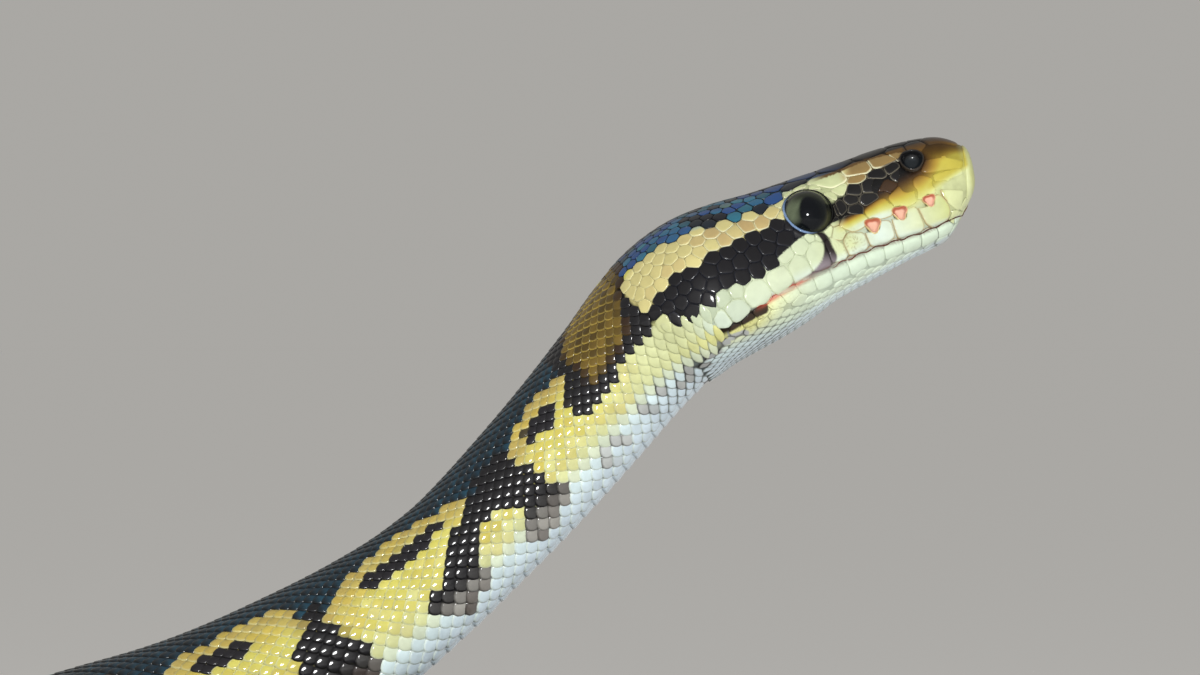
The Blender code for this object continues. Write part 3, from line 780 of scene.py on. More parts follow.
def raise_scales(name, s, angle, reach_along, reach_round, height, tilt, rings, material, chance,
                 follow=0, exact=False, rim_from=0.8, long_back=0.0):
    """Scales at (s, angle). Their outlines are offsets in mm, tailwards and round the body, one row to a
    scale. A point at the share f of the outline stands height * dome + tilt * f * cos over the skin, and
    takes the colour of the rim from rim_from outwards. With long_back the dome runs on as a ridge to the
    rear edge. Each point is coloured by the markings at the scale's middle or, with follow at 1, at its own
    place. With exact, each foot is moved until its offset in the plane of the scale is right, where the
    hide turns sharply. UV: a small patch for each scale at its place on the unrolled hide."""
    count, around = reach_along.shape
    foot, way, across, normal, along, round_ = hide_axes(s, angle)
    per_mm, skewed, per_degree = (
        dot(*pair)[:, None] for pair in ((along, way), (round_, way), (round_, across))
    )
    shares, lifts = np.array(rings).T
    share = np.concatenate([[0.0], np.repeat(shares, around)])
    bearing = np.concatenate([[0], np.tile(circle(around), len(rings))])

    def on_rings(reach):
        """The offset of each point: nothing in the middle, then the outline's offset times the ring's
        share."""
        scaled = reach[:, None] * shares[:, None]
        return np.concatenate([np.zeros((count, 1)), scaled.reshape(count, -1)], 1)

    def step(a, r):
        """The steps in distance and angle that lead a mm tailwards and r mm round the body."""
        turn = r / per_degree
        return (a - turn * skewed) / per_mm, turn

    wanted_a, wanted_r = on_rings(reach_along), on_rings(reach_round)
    ds, da = step(wanted_a, wanted_r)
    at_s, at_a = s[:, None] + ds, angle[:, None] + da
    points = hide(at_s, at_a)
    for _ in range(5 if exact else 0):
        off = points - foot[:, None]
        ds, da = step(wanted_a - dot(off, way[:, None]), wanted_r - dot(off, across[:, None]))
        at_s, at_a = np.maximum(at_s + 0.7 * ds, 0.02), at_a + 0.7 * np.clip(da, -8, 8)
        points = hide(at_s, at_a)
    ridge = np.where(share < 1, share * (1 - long_back * np.clip(np.cos(bearing), 0, 1) ** 2), 1)
    dome = np.interp(ridge, np.append(0, shares), np.append(1, lifts))
    to_rear = wanted_a / np.maximum(np.abs(reach_along).max(1, keepdims=True), 0.01)
    lift = dome * height[:, None] + (share < 1) * tilt[:, None] * to_rear - coat_depth(s)[:, None]
    points = points + normal[:, None] * lift[..., None]
    points[..., 2] = np.maximum(points[..., 2], 0)

    follow = np.broadcast_to(np.asarray(follow, float), (count,))[:, None]
    tone_s, tone_a = s[:, None], angle[:, None]
    if follow.any():
        tone_s, tone_a = tone_s + (at_s - tone_s) * follow, tone_a + wrap(at_a - tone_a) * follow
    found = markings(tone_s.ravel(), tone_a.ravel(), np.broadcast_to(chance[:, None], tone_s.shape).ravel())
    base, rim, rear, rear_shade = (value.reshape(*tone_s.shape, -1) for value in found)
    behind = to_rear[..., None]
    edge = ramp(share, rim_from, rim_from + 0.08)[:, None] * (1 - rear + rear * np.clip(behind, 0, 1))
    light = (0.92 + 0.16 * chance)[:, None, None]
    # The rear half of a scale darkened by the painted shade that the markings give
    colour = mix(base, rim, edge[..., 0]) * light * (1 - rear_shade * ramp(behind, -0.15, 0.6))
    turn = np.abs(wrap(angle))
    # Painted shade in the seams: the wall and the outer ring of each scale darker, less on pale scales,
    # more on the low side of the body and on the throat
    low_side = ramp(turn, 104, 122)[:, None, None]
    pale = ramp(colour.mean(-1, keepdims=True), 0.15, 0.45) * (1 - low_side)
    wall, shoulder = (share == 1)[:, None], (share > 0.93)[:, None]
    shoulder_shade = np.where(shoulder, 0.85 + 0.1 * pale - 0.3 * low_side, 1)
    colour = colour * np.where(wall, 0.5 + 0.24 * pale - 0.26 * low_side, shoulder_shade)
    shade = painted_seam_shade(s, turn)[:, None, None]
    colour = colour * (1 - shade * np.where(shade < 0, wall, ramp(share, 0.8, 0.92)[:, None]))
    low, high = s.min() - 2, s.max() + 2
    u = (s[:, None] - low) / (high - low) + UV_PATCH * share * np.cos(bearing)
    v = (angle[:, None] + 180) % 360 / 360 + UV_PATCH * share * np.sin(bearing)
    return add_piece(name, points, disc_faces(len(rings), around), material, colour.reshape(-1, 3),
                     np.clip(np.stack([u, v], -1), 0, 1))


def scale_outline(around):
    """The outline of a body scale, in half lengths and half widths: a diamond towards the head, where other
    scales lie over it, and a round tongue towards the tail. radius = (|cos|^p + |sin|^p)^(-1/p), with p
    from 1.15 to 1.7."""
    c, n = np.cos(circle(around)), np.sin(circle(around))
    power = 1.15 + 0.55 * ramp(c, -0.4, 0.4)
    radius = (np.abs(c) ** power + np.abs(n) ** power) ** (-1 / power)
    return radius * c * (1 + 0.1 * np.clip(c, 0, 1)), radius * n * 0.98


def body_scales(name, first, last, around, rings):
    """The scales between two places. Each leans so that its rear edge stands over the front of the next
    ones."""
    keep = (LATTICE_S >= np.maximum(first, rows_begin(LATTICE_ANGLE))) & (LATTICE_S < last)
    s, angle, widths = LATTICE_S[keep], LATTICE_ANGLE[keep], LATTICE_WIDE[keep]
    draw = np.random.default_rng(int(last))
    _, along, round_, _ = hide_frame(s, angle)
    pitch = smooth(s, PITCH)
    lengthwise, crosswise = scale_outline(around)
    raise_scales(name, s, angle, (pitch / 2 * length(along))[:, None] * lengthwise,
                 (widths * length(round_))[:, None] * crosswise, 0.08 * pitch + 0.03, 0.06 * pitch, rings,
                 scale_keratin, draw.random(len(s)), long_back=0.22)


scale_keratin = keratin("scale_keratin", 0.5, 0.10, 5000, 0.6, 0.07)
for name, first, last in (("front", CHEEK_END, 62), ("middle", 62, 88), ("rear", 88, TRUNK_FROM)):
    body_scales(f"scales_neck_{name}", first, last, 14, FINE_RINGS)

# ----------------------------------------------------------------------------------------------------
# The scales of the trunk and tail: the same coat, larger towards the middle of the body and small again
# on the tail.
COARSE_RINGS = [(0.62, 0.9), (0.92, 0.42), (1.0, -0.35)]
trunk_cuts = np.linspace(TRUNK_FROM, TAIL_FROM, 10)
for i in range(9):
    body_scales(f"scales_trunk_{i + 1}", trunk_cuts[i], trunk_cuts[i + 1], 8, COARSE_RINGS)
body_scales("scales_tail", TAIL_FROM, SCALES_TO, 8, COARSE_RINGS)

# ----------------------------------------------------------------------------------------------------
# The belly plates: one wide plate of smooth pale keratin for each ring of scales, its rear edge free and
# laid over the next plate. They run from the throat to the tail tip.
PLATE_ACROSS = 13
PLATE_REACH = 180 - ROW_REACH - 1.5  # degrees from the belly's middle
# Place along the body, in pitches from the plate's middle, and height as a share of the plate's
PLATE_LIFT = [(-0.62, -0.5), (-0.5, 0.15), (-0.1, 0.6), (0.45, 1.0), (0.62, 0.75), (0.64, -0.4)]


def belly_plates(name, first, last):
    """Plates between two places. Each is a grid of place along the body by angle, lifted along the profile
    and rounded down at both sides: height * (1 - 1.3 * side^8)."""
    s = LATTICE_S[:, 0]
    s = s[(s >= first) & (s < last)]
    pitch = smooth(s, PITCH)[:, None, None]
    side = np.linspace(-1, 1, PLATE_ACROSS)
    v, lift = np.array(PLATE_LIFT).T[..., None]
    at_s = s[:, None, None] + pitch * (v + 0.12 * (1 - side**2) * (v > 0))
    at_a = 180 + np.broadcast_to(side * PLATE_REACH, at_s.shape)
    point, _, _, normal = hide_frame(np.clip(at_s, 0.5, BODY_LENGTH - 0.1), at_a)
    height = (0.11 * pitch + 0.05) * lift * (1 - side**8 * 1.3)
    point = point + normal * (height - coat_depth(s)[:, None, None])[..., None]
    point[..., 2] = np.maximum(point[..., 2], 0)
    base = markings(at_s.ravel(), at_a.ravel(), np.full(at_s.size, 0.5))[0]
    # Painted shade at the free rear edge of each plate, where it folds down over the next one
    colour = base * (1 - 0.3 * np.broadcast_to(v > 0.5, at_s.shape).reshape(-1, 1))
    low, high = s.min() - 2, s.max() + 2
    uv = np.stack([np.clip((at_s - low) / (high - low), 0, 1), at_a / 360], -1)
    quads = net(len(v), PLATE_ACROSS, closed_columns=False)
    faces = quads.ravel(), np.full(quads.size // 4, 4)
    add_piece(name, point.reshape(len(s), -1, 3), faces, belly_keratin, colour, uv)


belly_keratin = keratin("belly_keratin", 0.38, 0.1, 3000, 0.3, 0.05)
belly_plates("belly_plates_neck", HEAD_END + 1, TRUNK_FROM)
belly_plates("belly_plates_trunk", TRUNK_FROM, TAIL_FROM)
belly_plates("belly_plates_tail", TAIL_FROM, PLATES_TO)

# ----------------------------------------------------------------------------------------------------
# The head plates: polygons of smooth keratin that fit each other like paving. The large ones have their
# own places, the small ones between them are spread evenly, and each is cut off half-way to its
# neighbours, or nearer to the smaller one.
UPPER_LIP = [  # (middle, half length, height above the lip line), mm
    (5.6, 1.5, 3.3), (8.8, 1.5, 2.9), (11.9, 1.45, 2.7), (14.6, 1.2, 2.5), (16.7, 0.85, 2.5),
    (18.6, 1.15, 2.9), (20.8, 1.0, 2.6), (23.1, 1.25, 2.6), (25.8, 1.4, 2.6), (28.4, 1.2, 2.2),
    (30.6, 0.9, 1.7),
]
LOWER_LIP = [
    (5.4, 0.95, 1.7), (7.3, 0.95, 1.8), (9.3, 1.0, 1.9), (11.3, 1.0, 1.9), (13.3, 1.0, 1.9),
    (15.3, 1.0, 1.8), (17.2, 0.95, 1.7), (19.1, 0.95, 1.5), (20.9, 0.9, 1.3), (22.7, 0.85, 1.2),
    (24.4, 0.85, 1.2), (26.1, 0.85, 1.3),
]
LARGE_PLATES = [  # (distance, angle, half length, half width): the right one of each pair
    (2.9, 49, 2.0, 1.8), (3.2, 72, 1.5, 1.2), (2.8, 99, 0.85, 1.5), (3.0, 14, 1.7, 1.5),
    (6.7, 24, 1.0, 0.9), (6.0, 8, 1.2, 1.2), (5.6, 66, 1.0, 0.8), (8.2, 63, 1.3, 0.9), (10.8, 66, 1.4, 0.8),
    (13.9, 68, 1.4, 0.8), (8.4, 28, 1.25, 0.8), (11.1, 29, 1.3, 0.95), (14.4, 32, 1.8, 1.0),
    (9.2, 11, 1.8, 1.5), (12.9, 13, 1.7, 1.5), (16.6, 14, 1.5, 1.4), (17.6, 26, 1.1, 0.9),
    (20.0, 34, 1.1, 0.85), (19.6, 20, 1.1, 0.9), (7.9, 38, 0.5, 0.45), (7.5, 46, 0.55, 0.5),
    (9.5, 39, 0.75, 0.45), (10.6, 46, 0.95, 0.65), (9.2, 52, 0.75, 0.55), (11.6, 38, 0.7, 0.45),
    (12.3, 45, 0.7, 0.55), (11.4, 54, 0.7, 0.5), (13.0, 51, 0.5, 0.45), (13.1, 59, 0.6, 0.5),
    (13.6, 42, 0.6, 0.4), (14.5, 55, 0.55, 0.6),
]
MIDLINE_PLATES = [(3.4, 180, 1.0, 1.9), (5.6, 180, 1.0, 1.3), (15.0, 0, 1.2, 1.0)]
# Angle, and how far back the plate on the front of the snout reaches there
ROSTRAL = [(0, 0.75), (28, 0.9), (70, 1.15), (100, 1.35), (130, 1.7), (180, 2.0)]
SPACING = [  # (distance, spacing of the small plates on the crown, in front of and behind the eye, below)
    (0, 1.9, 1.3, 1.9), (7, 1.9, 1.3, 1.5), (14, 1.8, 1.3, 1.25), (20, 1.4, 1.55, 1.2), (28, 1.2, 1.5, 1.2),
    (36, 1.1, 1.3, 1.2),
]
SMALL_END = 36.2  # no small plate or throat scale has its middle further back
EYE_ON_HIDE = (17.7, 54.5)


def spacing(s, turn):
    """How far apart small plates stand, and how much longer than wide they are, by place."""
    crown, temple, throat = (smooth(s, SPACING, column) for column in (1, 2, 3))
    low = mouth_line(s)
    apart = crown + (temple - crown) * ramp(turn, 30, 50)
    apart = apart + (throat - apart) * ramp(turn, low, low + 15)
    return apart, 1 + 0.5 * ramp(turn, low + 5, low + 30) * ramp(s, 6, 12)


def mm_per_degree(s, turn):
    return length(hide_frame(s, turn)[2])


def sized(s, angle, half_long, half_wide):
    """Rows of places with their sizes."""
    return np.stack(np.broadcast_arrays(s, angle, half_long, half_wide), 1)


def size_of(places):
    """The mean half size of plates: the root of half length * half width."""
    return np.sqrt(places[:, 2] * places[:, 3])


def on_hide(places):
    return hide(places[:, 0], places[:, 1])


def in_plane(offset, way, across):
    """Offsets from the middles of plates, one row to a plate, as mm tailwards and round the body."""
    return np.stack([dot(offset, way[:, None]), dot(offset, across[:, None])], -1)


def eye_line(ray, steps, distance):
    """Where rays from the eye's middle along the hide come to be that far from the eyeball's middle."""
    reach = np.linspace(1.2, 4.5, steps)[:, None]
    s, angle = EYE_ON_HIDE[0] + reach * np.cos(ray), EYE_ON_HIDE[1] + reach * np.sin(ray) * 7.0
    first = np.argmax(length(hide(s, angle) - EYES[1]) > distance, axis=0)
    rays = np.arange(len(ray))
    return s[first, rays], angle[first, rays]


# The throat: slim scales in rows that run parallel to its middle, up to the plates of the lower lip. Its
# arcs are the lengths along the hide from the middle upwards, in mm.
THROAT_FROM, THROAT_ROW, THROAT_PITCH, LIP_ROOM = 7.5, 0.58, 1.7, 2.5
GRID_FROM, GRID_STEP = 6, 0.25
throat_s, throat_a = np.arange(GRID_FROM, 37.5, GRID_STEP), np.arange(180, 84, -1.0)
throat_hide = hide(*np.meshgrid(throat_s, throat_a, indexing="ij"))
throat_step = length(np.diff(throat_hide, axis=1))
THROAT_ARC = np.concatenate([np.zeros((len(throat_s), 1)), np.cumsum(throat_step, axis=1)], 1)
throat_lip = mouth_line(throat_s)
lip_arc = np.array([np.interp(180 - lip, 180 - throat_a, arc) for lip, arc in zip(throat_lip, THROAT_ARC)])
throat_row = np.arange(-18, 19)
row_angle = np.array([np.interp(np.abs(throat_row) * THROAT_ROW, arc, throat_a) for arc in THROAT_ARC])
throat_at = THROAT_FROM + THROAT_PITCH * (np.arange(0, 18)[:, None] + 0.5 * (throat_row % 2))
throat_angle = np.stack([np.interp(at, throat_s, row) for at, row in zip(throat_at.T, row_angle.T)], 1)
throat_room = np.interp(throat_at, throat_s, lip_arc) - np.abs(throat_row) * THROAT_ROW
throat_side = np.broadcast_to(np.where(throat_row < 0, -1, 1), throat_at.shape)
throat_keep = (throat_room > LIP_ROOM) & (throat_at < SMALL_END)
throat_at, throat_angle, throat_room, throat_side = (
    grid[throat_keep] for grid in (throat_at, throat_angle, throat_room, throat_side)
)
throat_edge = (throat_room < LIP_ROOM + 1.6) & (throat_side > 0)
throat_walls = sized(throat_at[throat_edge], throat_angle[throat_edge], 0.6, 0.5)


def in_throat(s, turn):
    """Whether a place belongs to the throat's rows: further than LIP_ROOM below the lip line."""
    row = np.clip(((s - GRID_FROM) / GRID_STEP).astype(int), 0, len(throat_s) - 1)
    column = np.clip((180 - turn).astype(int), 0, len(throat_a) - 1)
    return (s > THROAT_FROM - 0.8) & (lip_arc[row] - THROAT_ARC[row, column] > LIP_ROOM - 0.5) & (turn > 90)


# Places with a size of their own, on the right side; the left ones mirror them
own = []
for rows, way in ((UPPER_LIP, -1), (LOWER_LIP, 1)):
    for s0, half_long, tall in rows:
        at = np.array([s0])
        lip = mouth_line(at)
        own.append((s0, (lip + way * tall / 2 / mm_per_degree(at, lip + way * 8))[0], half_long, tall / 2))
own = np.array(own + LARGE_PLATES)
rim_angle = circle(13) + 0.2
around_eye, inside_eye = (
    sized(*eye_line(rim_angle, 67, EYE_RADIUS + off), 0.44, 0.44) for off in (0.5, -0.28)
)
bowl_at = np.array([(s0, a0, radius, radius) for s0, a0, radius in PITS + [NOSTRIL]])
front_a = np.linspace(5, 175, 9)
front = sized(smooth(front_a, ROSTRAL) - 0.75, front_a, 0.8, 0.8)
past_edge = LATTICE_S - rows_begin(LATTICE_ANGLE)
edge_keep = (LATTICE_ANGLE > 0) & (past_edge >= 0) & (past_edge < 1.6)
edge_s, edge_a = LATTICE_S[edge_keep], LATTICE_ANGLE[edge_keep]
body_edge = sized(edge_s, edge_a, 0.55, LATTICE_WIDE[edge_keep] * mm_per_degree(edge_s, edge_a) * 0.9)
middles = np.array(MIDLINE_PLATES)
fixed = np.concatenate([own, middles, around_eye, inside_eye, bowl_at, front, body_edge, throat_walls])
fixed_point, fixed_size = on_hide(fixed), size_of(fixed)

# The small plates: thrown at random, kept where there is room, then pushed apart until they lie evenly
THROWN, ROUNDS, TIGHTNESS = 14000, 50, 1.12
PULL = 0.3  # the share of a push that each round makes, and the most that it makes, in mm
draw = np.random.default_rng(3)
thrown_s, thrown_a = draw.uniform(1.5, SMALL_END, THROWN), draw.uniform(0, 180, THROWN)
apart, stretch = spacing(thrown_s, thrown_a)
thrown = hide(thrown_s, thrown_a)
clear = (length(thrown - EYES[1]) > EYE_RADIUS + 0.85) & ~in_throat(thrown_s, thrown_a)
clear &= (thrown_s < rows_begin(thrown_a) - 0.2) & (thrown_s > 2)
crowded = 1 + 0.35 * (thrown_s < 15.5) * (thrown_a > 22) * (thrown_a < 110)
gap = length(thrown[:, None] - fixed_point)
clear &= (gap > crowded[:, None] * (0.42 * apart[:, None] + 0.88 * fixed_size)).all(1)
kept = []
for i in np.nonzero(clear)[0]:
    if (length(thrown[kept] - thrown[i]) > 0.80 * apart[i] * np.sqrt(stretch[i])).all():
        kept.append(i)
free_s, free_a = thrown_s[kept], thrown_a[kept]
itself = np.arange(len(kept))
for _ in range(ROUNDS):
    point, along, round_, _ = hide_frame(free_s, free_a)
    apart, stretch = spacing(free_s, free_a)
    others = np.concatenate([point, hide(free_s, -free_a), fixed_point])
    wanted = np.add.outer(apart / 2, np.concatenate([apart / 2, apart / 2, fixed_size])) * TIGHTNESS
    back_way, side_way = unit(along), unit(round_)
    way = point[:, None] - others
    lengthwise = dot(way, back_way[:, None])[..., None]
    way = way - lengthwise * back_way[:, None] * (1 - 1 / stretch)[:, None, None]
    away = np.maximum(length(way), 1e-6)
    push = np.clip(1 - away / wanted, 0, 1)
    push[itself, itself] = 0
    moved = (way / away[..., None] * (push * wanted)[..., None]).sum(1) * PULL
    free_s = free_s + np.clip(dot(moved, back_way), -PULL, PULL) / length(along)
    free_s = np.clip(free_s, 2, rows_begin(free_a) - 0.1)
    free_a = np.clip(free_a + np.clip(dot(moved, side_way), -PULL, PULL) / length(round_), 1.0, 179.0)
apart, stretch = spacing(free_s, free_a)
free = sized(free_s, free_a, apart / 2 * np.sqrt(stretch), apart / 2 / np.sqrt(stretch))

# Every plate, right and left, the real ones first, and then what only keeps them off. Each outline is the
# nearest of the walls between a plate and its 16 neighbours, rounded: (sum of (facing / wall)^14)^(-1/14).
CORNERS, NEIGHBOURS, WIDEST, ROUNDING = 40, 16, 1.9, 14
PLATE_GAP, OUT_OF_REACH = 0.012, 5.5  # mm
mirror = (1, -1, 1, 1)
paired = np.concatenate([own, around_eye, free])
real = np.concatenate([paired, paired * mirror, middles])
walls = [np.concatenate([rows, rows * mirror]) for rows in (inside_eye, front, body_edge, throat_walls)]
every = np.concatenate([real, *walls])
point, way, across = hide_axes(real[:, 0], real[:, 1])[:3]
direction = np.stack([np.cos(circle(CORNERS)), np.sin(circle(CORNERS))], 1)
offset = on_hide(every) - point[:, None]
flat = in_plane(offset, way, across) / real[:, None, 2:4]
hidden = (np.arange(len(every)) == np.arange(len(real))[:, None]) | (length(offset) > OUT_OF_REACH)
away = length(flat) + 50 * hidden
near = np.argsort(away, axis=1)[:, :NEIGHBOURS]
rows = np.arange(len(real))[:, None]
size = size_of(every)
plate_size = size[: len(real)]
share = plate_size[:, None] / (plate_size[:, None] + size[near])
to = flat[rows, near] / away[rows, near][..., None]
wall = away[rows, near] * share - PLATE_GAP / plate_size[:, None]
facing = np.einsum("nkc,tc->nkt", to, direction)
blocked = np.where(facing > 0.05, facing / np.maximum(wall, 0.05)[..., None], 0)
outline = ((blocked**ROUNDING).sum(1) + WIDEST**-ROUNDING) ** (-1 / ROUNDING)

# The pits and nostrils bite round holes out of the plates: where a ray of the outline meets the circle
bowls_at = np.concatenate([bowl_at, bowl_at * mirror])
off = in_plane(on_hide(bowls_at) - point[:, None], way, across)
ray = direction * real[:, None, 2:4]
ray_square = (ray**2).sum(-1)[:, None]
ahead = np.einsum("ntc,nkc->nkt", ray, off)
room = ahead**2 - ray_square * ((off**2).sum(-1) - (1.08 * bowls_at[:, 2]) ** 2)[..., None]
bitten = np.where((room > 0) & (ahead > 0), (ahead - np.sqrt(np.maximum(room, 0))) / ray_square, 9).min(1)
outline = np.clip(np.minimum(outline, bitten), 0.15, WIDEST)
reach_along, reach_round = (outline * direction[:, i] * real[:, 2 + i, None] for i in range(2))
plate_chance = draw.random(len(real))
plate_chance[(real[:, 0] < 16.5) & (np.abs(real[:, 1]) > 35)] = 0.5

plate_keratin = keratin("plate_keratin", 0.5, 0.05, 4000, 0.4, 0.05)
PLATE_RINGS = [(0.5, 1.0), (0.78, 0.97), (0.91, 0.84), (0.97, 0.5), (1.0, -0.5)]
BROAD_RINGS = [
    (0.16, 1.0), (0.32, 1.0), (0.48, 1.0), (0.62, 0.99), (0.75, 0.97), (0.86, 0.9), (0.93, 0.75),
    (0.975, 0.45), (1.0, -0.5),
]
on_jaw = (np.abs(wrap(real[:, 1])) > mouth_line(real[:, 0])) & (real[:, 0] > 2.6)
by_eye = (np.abs(real[:, 0] - 18) < 3.6) & (np.abs(real[:, 1]) > 62)
broad = ((plate_size > 0.78) & (real[:, 0] < 16.5)) | by_eye
for name, chosen, every_nth, rings, follow, slot_name in (
    ("plates_snout", broad & ~on_jaw, 1, BROAD_RINGS, 1, "patterned_skin"),
    ("plates_head", ~broad & ~on_jaw, 2, PLATE_RINGS, 0.1, "patterned_skin"),
    ("plates_jaw", on_jaw, 2, BROAD_RINGS, 1, "lip_skin"),
):
    height, tilt = 0.10 + 0.03 * plate_size[chosen], np.full(chosen.sum(), 0.012)
    raise_scales(name, real[chosen, 0], real[chosen, 1], reach_along[chosen, ::every_nth],
                 reach_round[chosen, ::every_nth], height, tilt, rings, plate_keratin,
                 plate_chance[chosen], follow, True, 0.89)


def rostral(around):
    """The plate on the front of the snout: a disc round the snout tip, whose rings are shares of its
    reach."""
    angle = np.degrees(circle(around))
    reach = smooth(np.abs(wrap(angle)), ROSTRAL) - 0.05
    shares, lifts = np.array(BROAD_RINGS).T
    at_s, at_a = reach * shares[:, None], np.broadcast_to(angle, (len(shares), around))
    point, _, _, normal = hide_frame(at_s, at_a)
    point = point + normal * (0.14 * lifts - 0.17)[:, None, None]
    base = markings(at_s.ravel(), at_a.ravel(), np.full(at_s.size, 0.5))[0]
    # The edge ring darkened as painted shade in the seam round the plate
    colour = np.concatenate([base[:1], base * np.repeat(np.where(shares == 1, 0.7, 1.0), around)[:, None]])
    uv = np.concatenate([[[0.0, 0.0]], np.stack([at_s / 40, at_a / 360], -1).reshape(-1, 2)])
    add_piece("plate_rostral", np.concatenate([point[0].mean(0, keepdims=True), point.reshape(-1, 3)]),
              disc_faces(len(shares), around), plate_keratin, colour, uv)


rostral(48)
ones = np.ones((len(throat_at), 1))
lengthwise, crosswise = scale_outline(14)
raise_scales("scales_throat", throat_at, throat_angle * throat_side, THROAT_PITCH / 2 * ones * lengthwise,
             THROAT_ROW * ones * crosswise, 0.07 * ones[:, 0], 0.08 * ones[:, 0], FINE_RINGS, plate_keratin,
             draw.random(len(throat_at)), 0.6)

# ----------------------------------------------------------------------------------------------------
# The seam of the lips: a thin soft cord of darker gum between the plates of both lips, brown in front and
# red towards the corner of the mouth.
SEAM_FROM, SEAM_TO, SEAM_AROUND = 1.3, 26.4, 8


def lip_seam(name, side):
    """A tube along the lip line, just under the tops of the plates: a circle round each place on the line,
    its radius going to nothing at both ends."""
    s = np.linspace(SEAM_FROM, SEAM_TO, 200)
    angle = side * (mouth_line(s) + 0.9 * np.sin(s * 3.3) * ramp(s, 3, 6))
    middle, _, across, normal = hide_axes(s, angle)[:4]
    t = circle(SEAM_AROUND)[:, None]
    ends = np.sqrt(np.clip((s - SEAM_FROM) * (SEAM_TO - s), 0, 4) / 4)
    radius = 0.075 * (1 - 0.3 * ramp(s, 17, 20)) * ends + 0.004
    off = across[:, None] * np.cos(t) + normal[:, None] * np.sin(t)
    sunk = 0.01 + 0.08 * ramp(s, 15, 19)
    point = (middle - sunk[:, None] * normal)[:, None] + off * radius[:, None, None]
    tone = gradient(s, (1.3, 3, 14, 18.5, 20, 26), (
        dye(150, 120, 84), dye(70, 32, 18), dye(84, 40, 26), dye(110, 52, 40), dye(172, 76, 56),
        dye(160, 62, 42)))
    colour = np.concatenate([np.repeat(tone, SEAM_AROUND, 0), tone[:1], tone[-1:]])
    uv = np.stack(np.meshgrid(s / 40, t[:, 0] / 7, indexing="ij"), -1).reshape(-1, 2)
    add_piece(name, np.concatenate([point.reshape(-1, 3), point[[0, -1]].mean(1)]),
              tube_faces(len(s), SEAM_AROUND), plate_keratin, colour,
              np.concatenate([uv, [[0, 0], [1, 1]]]))


lip_seam("lip_seam_right", 1)
lip_seam("lip_seam_left", -1)

# ----------------------------------------------------------------------------------------------------
# The heat pits and the nostrils: small wet bowls sunk between the plates of the upper lip and the snout,
# each with a floor, a wall and a rim of its own colour. The darker walls, darkest on their upper side, and
# the near-black inside of the nostrils are painted shade.
BOWL_AROUND = 20
BOWL = [  # share of the radius, height as a share of the depth
    (0.0, -0.5), (0.3, -0.5), (0.55, -0.46), (0.75, -0.36), (0.9, -0.16), (1.0, 0.04), (1.07, 0.1),
    (1.15, 0.04), (1.22, -0.3),
]


def bowls(name, places, depth, swelling, floor_colour, shaded_wall_colour, rim_colour):
    """Bowls on the hide: radius times the share, height along the profile, one for each place. Their
    outline is a circle swollen towards three corners, 1 + swelling * cos(3 * angle), one of them towards
    the lip. The wall is painted darker, darkest on its upper side, as painted shadow in the bowl."""
    theta = circle(BOWL_AROUND)
    s0, a0, radius = np.array(places, float).T
    foot, way, across, normal = hide_axes(s0, a0)[:4]
    across = across * np.sign(a0)[:, None]
    shares, lifts = np.array(BOWL[1:]).T
    corner = 1 + swelling * np.cos(3 * (theta - math.pi / 2 + 0.25))
    off = way[:, None, None] * np.cos(theta)[:, None] + across[:, None, None] * np.sin(theta)[:, None]
    off = off * corner[:, None] * (radius[:, None] * shares)[..., None, None]
    deep = depth * radius[:, None]
    rings = foot[:, None, None] + off + normal[:, None, None] * (deep * lifts - 0.05)[..., None, None]
    centre = foot + normal * (BOWL[0][1] * deep - 0.05)
    points = np.concatenate([centre[:, None], rings.reshape(len(s0), -1, 3)], 1)
    # upper: where the wall carries its painted shadow
    upper = np.tile(ramp(np.sin(theta), 0.6, -0.5), len(shares))
    share_at = np.repeat(shares, BOWL_AROUND)
    tone = mix(floor_colour, shaded_wall_colour, ramp(share_at, 0.5, 0.8) * (0.1 + 0.9 * upper))
    tone = mix(tone, rim_colour, ramp(share_at, 0.98, 1.08) * (1 - 0.5 * upper))
    colour = np.tile(np.concatenate([floor_colour[None], tone]), (len(s0), 1))
    add_piece(name, points, disc_faces(len(shares), BOWL_AROUND), wet_skin, colour)


wet_skin = keratin("wet_skin", 0.45, 0.1, 3000, 0.5, 0.1)
# Pink pits whose walls are painted darker red as shadow, darkest on the upper side
bowls("heat_pits", PITS + [(s0, -a0, radius) for s0, a0, radius in PITS], 0.9, 0.2,
      PIT_PINK, dye(172, 92, 66), dye(210, 190, 132))
# Nostrils whose floor and wall are painted near black as the shade inside the hole
bowls("nostrils", [NOSTRIL, (NOSTRIL[0], -NOSTRIL[1], NOSTRIL[2])], 1.3, 0.04,
      dye(20, 27, 32), dye(8, 8, 11), dye(44, 36, 28))

# ----------------------------------------------------------------------------------------------------
# The eyes: dark glossy balls under a clear scale, with a tall slanted pupil in an olive iris, and the thin
# edge of the clear scale round each.
EYE_RINGS, EYE_AROUND = 40, 64
PUPIL_TALL, PUPIL_WIDE = 44, 24  # degrees from the eye's axis
PUPIL_LEAN = 14  # degrees forwards at the top
BALL_RADIUS = EYE_RADIUS - 0.02


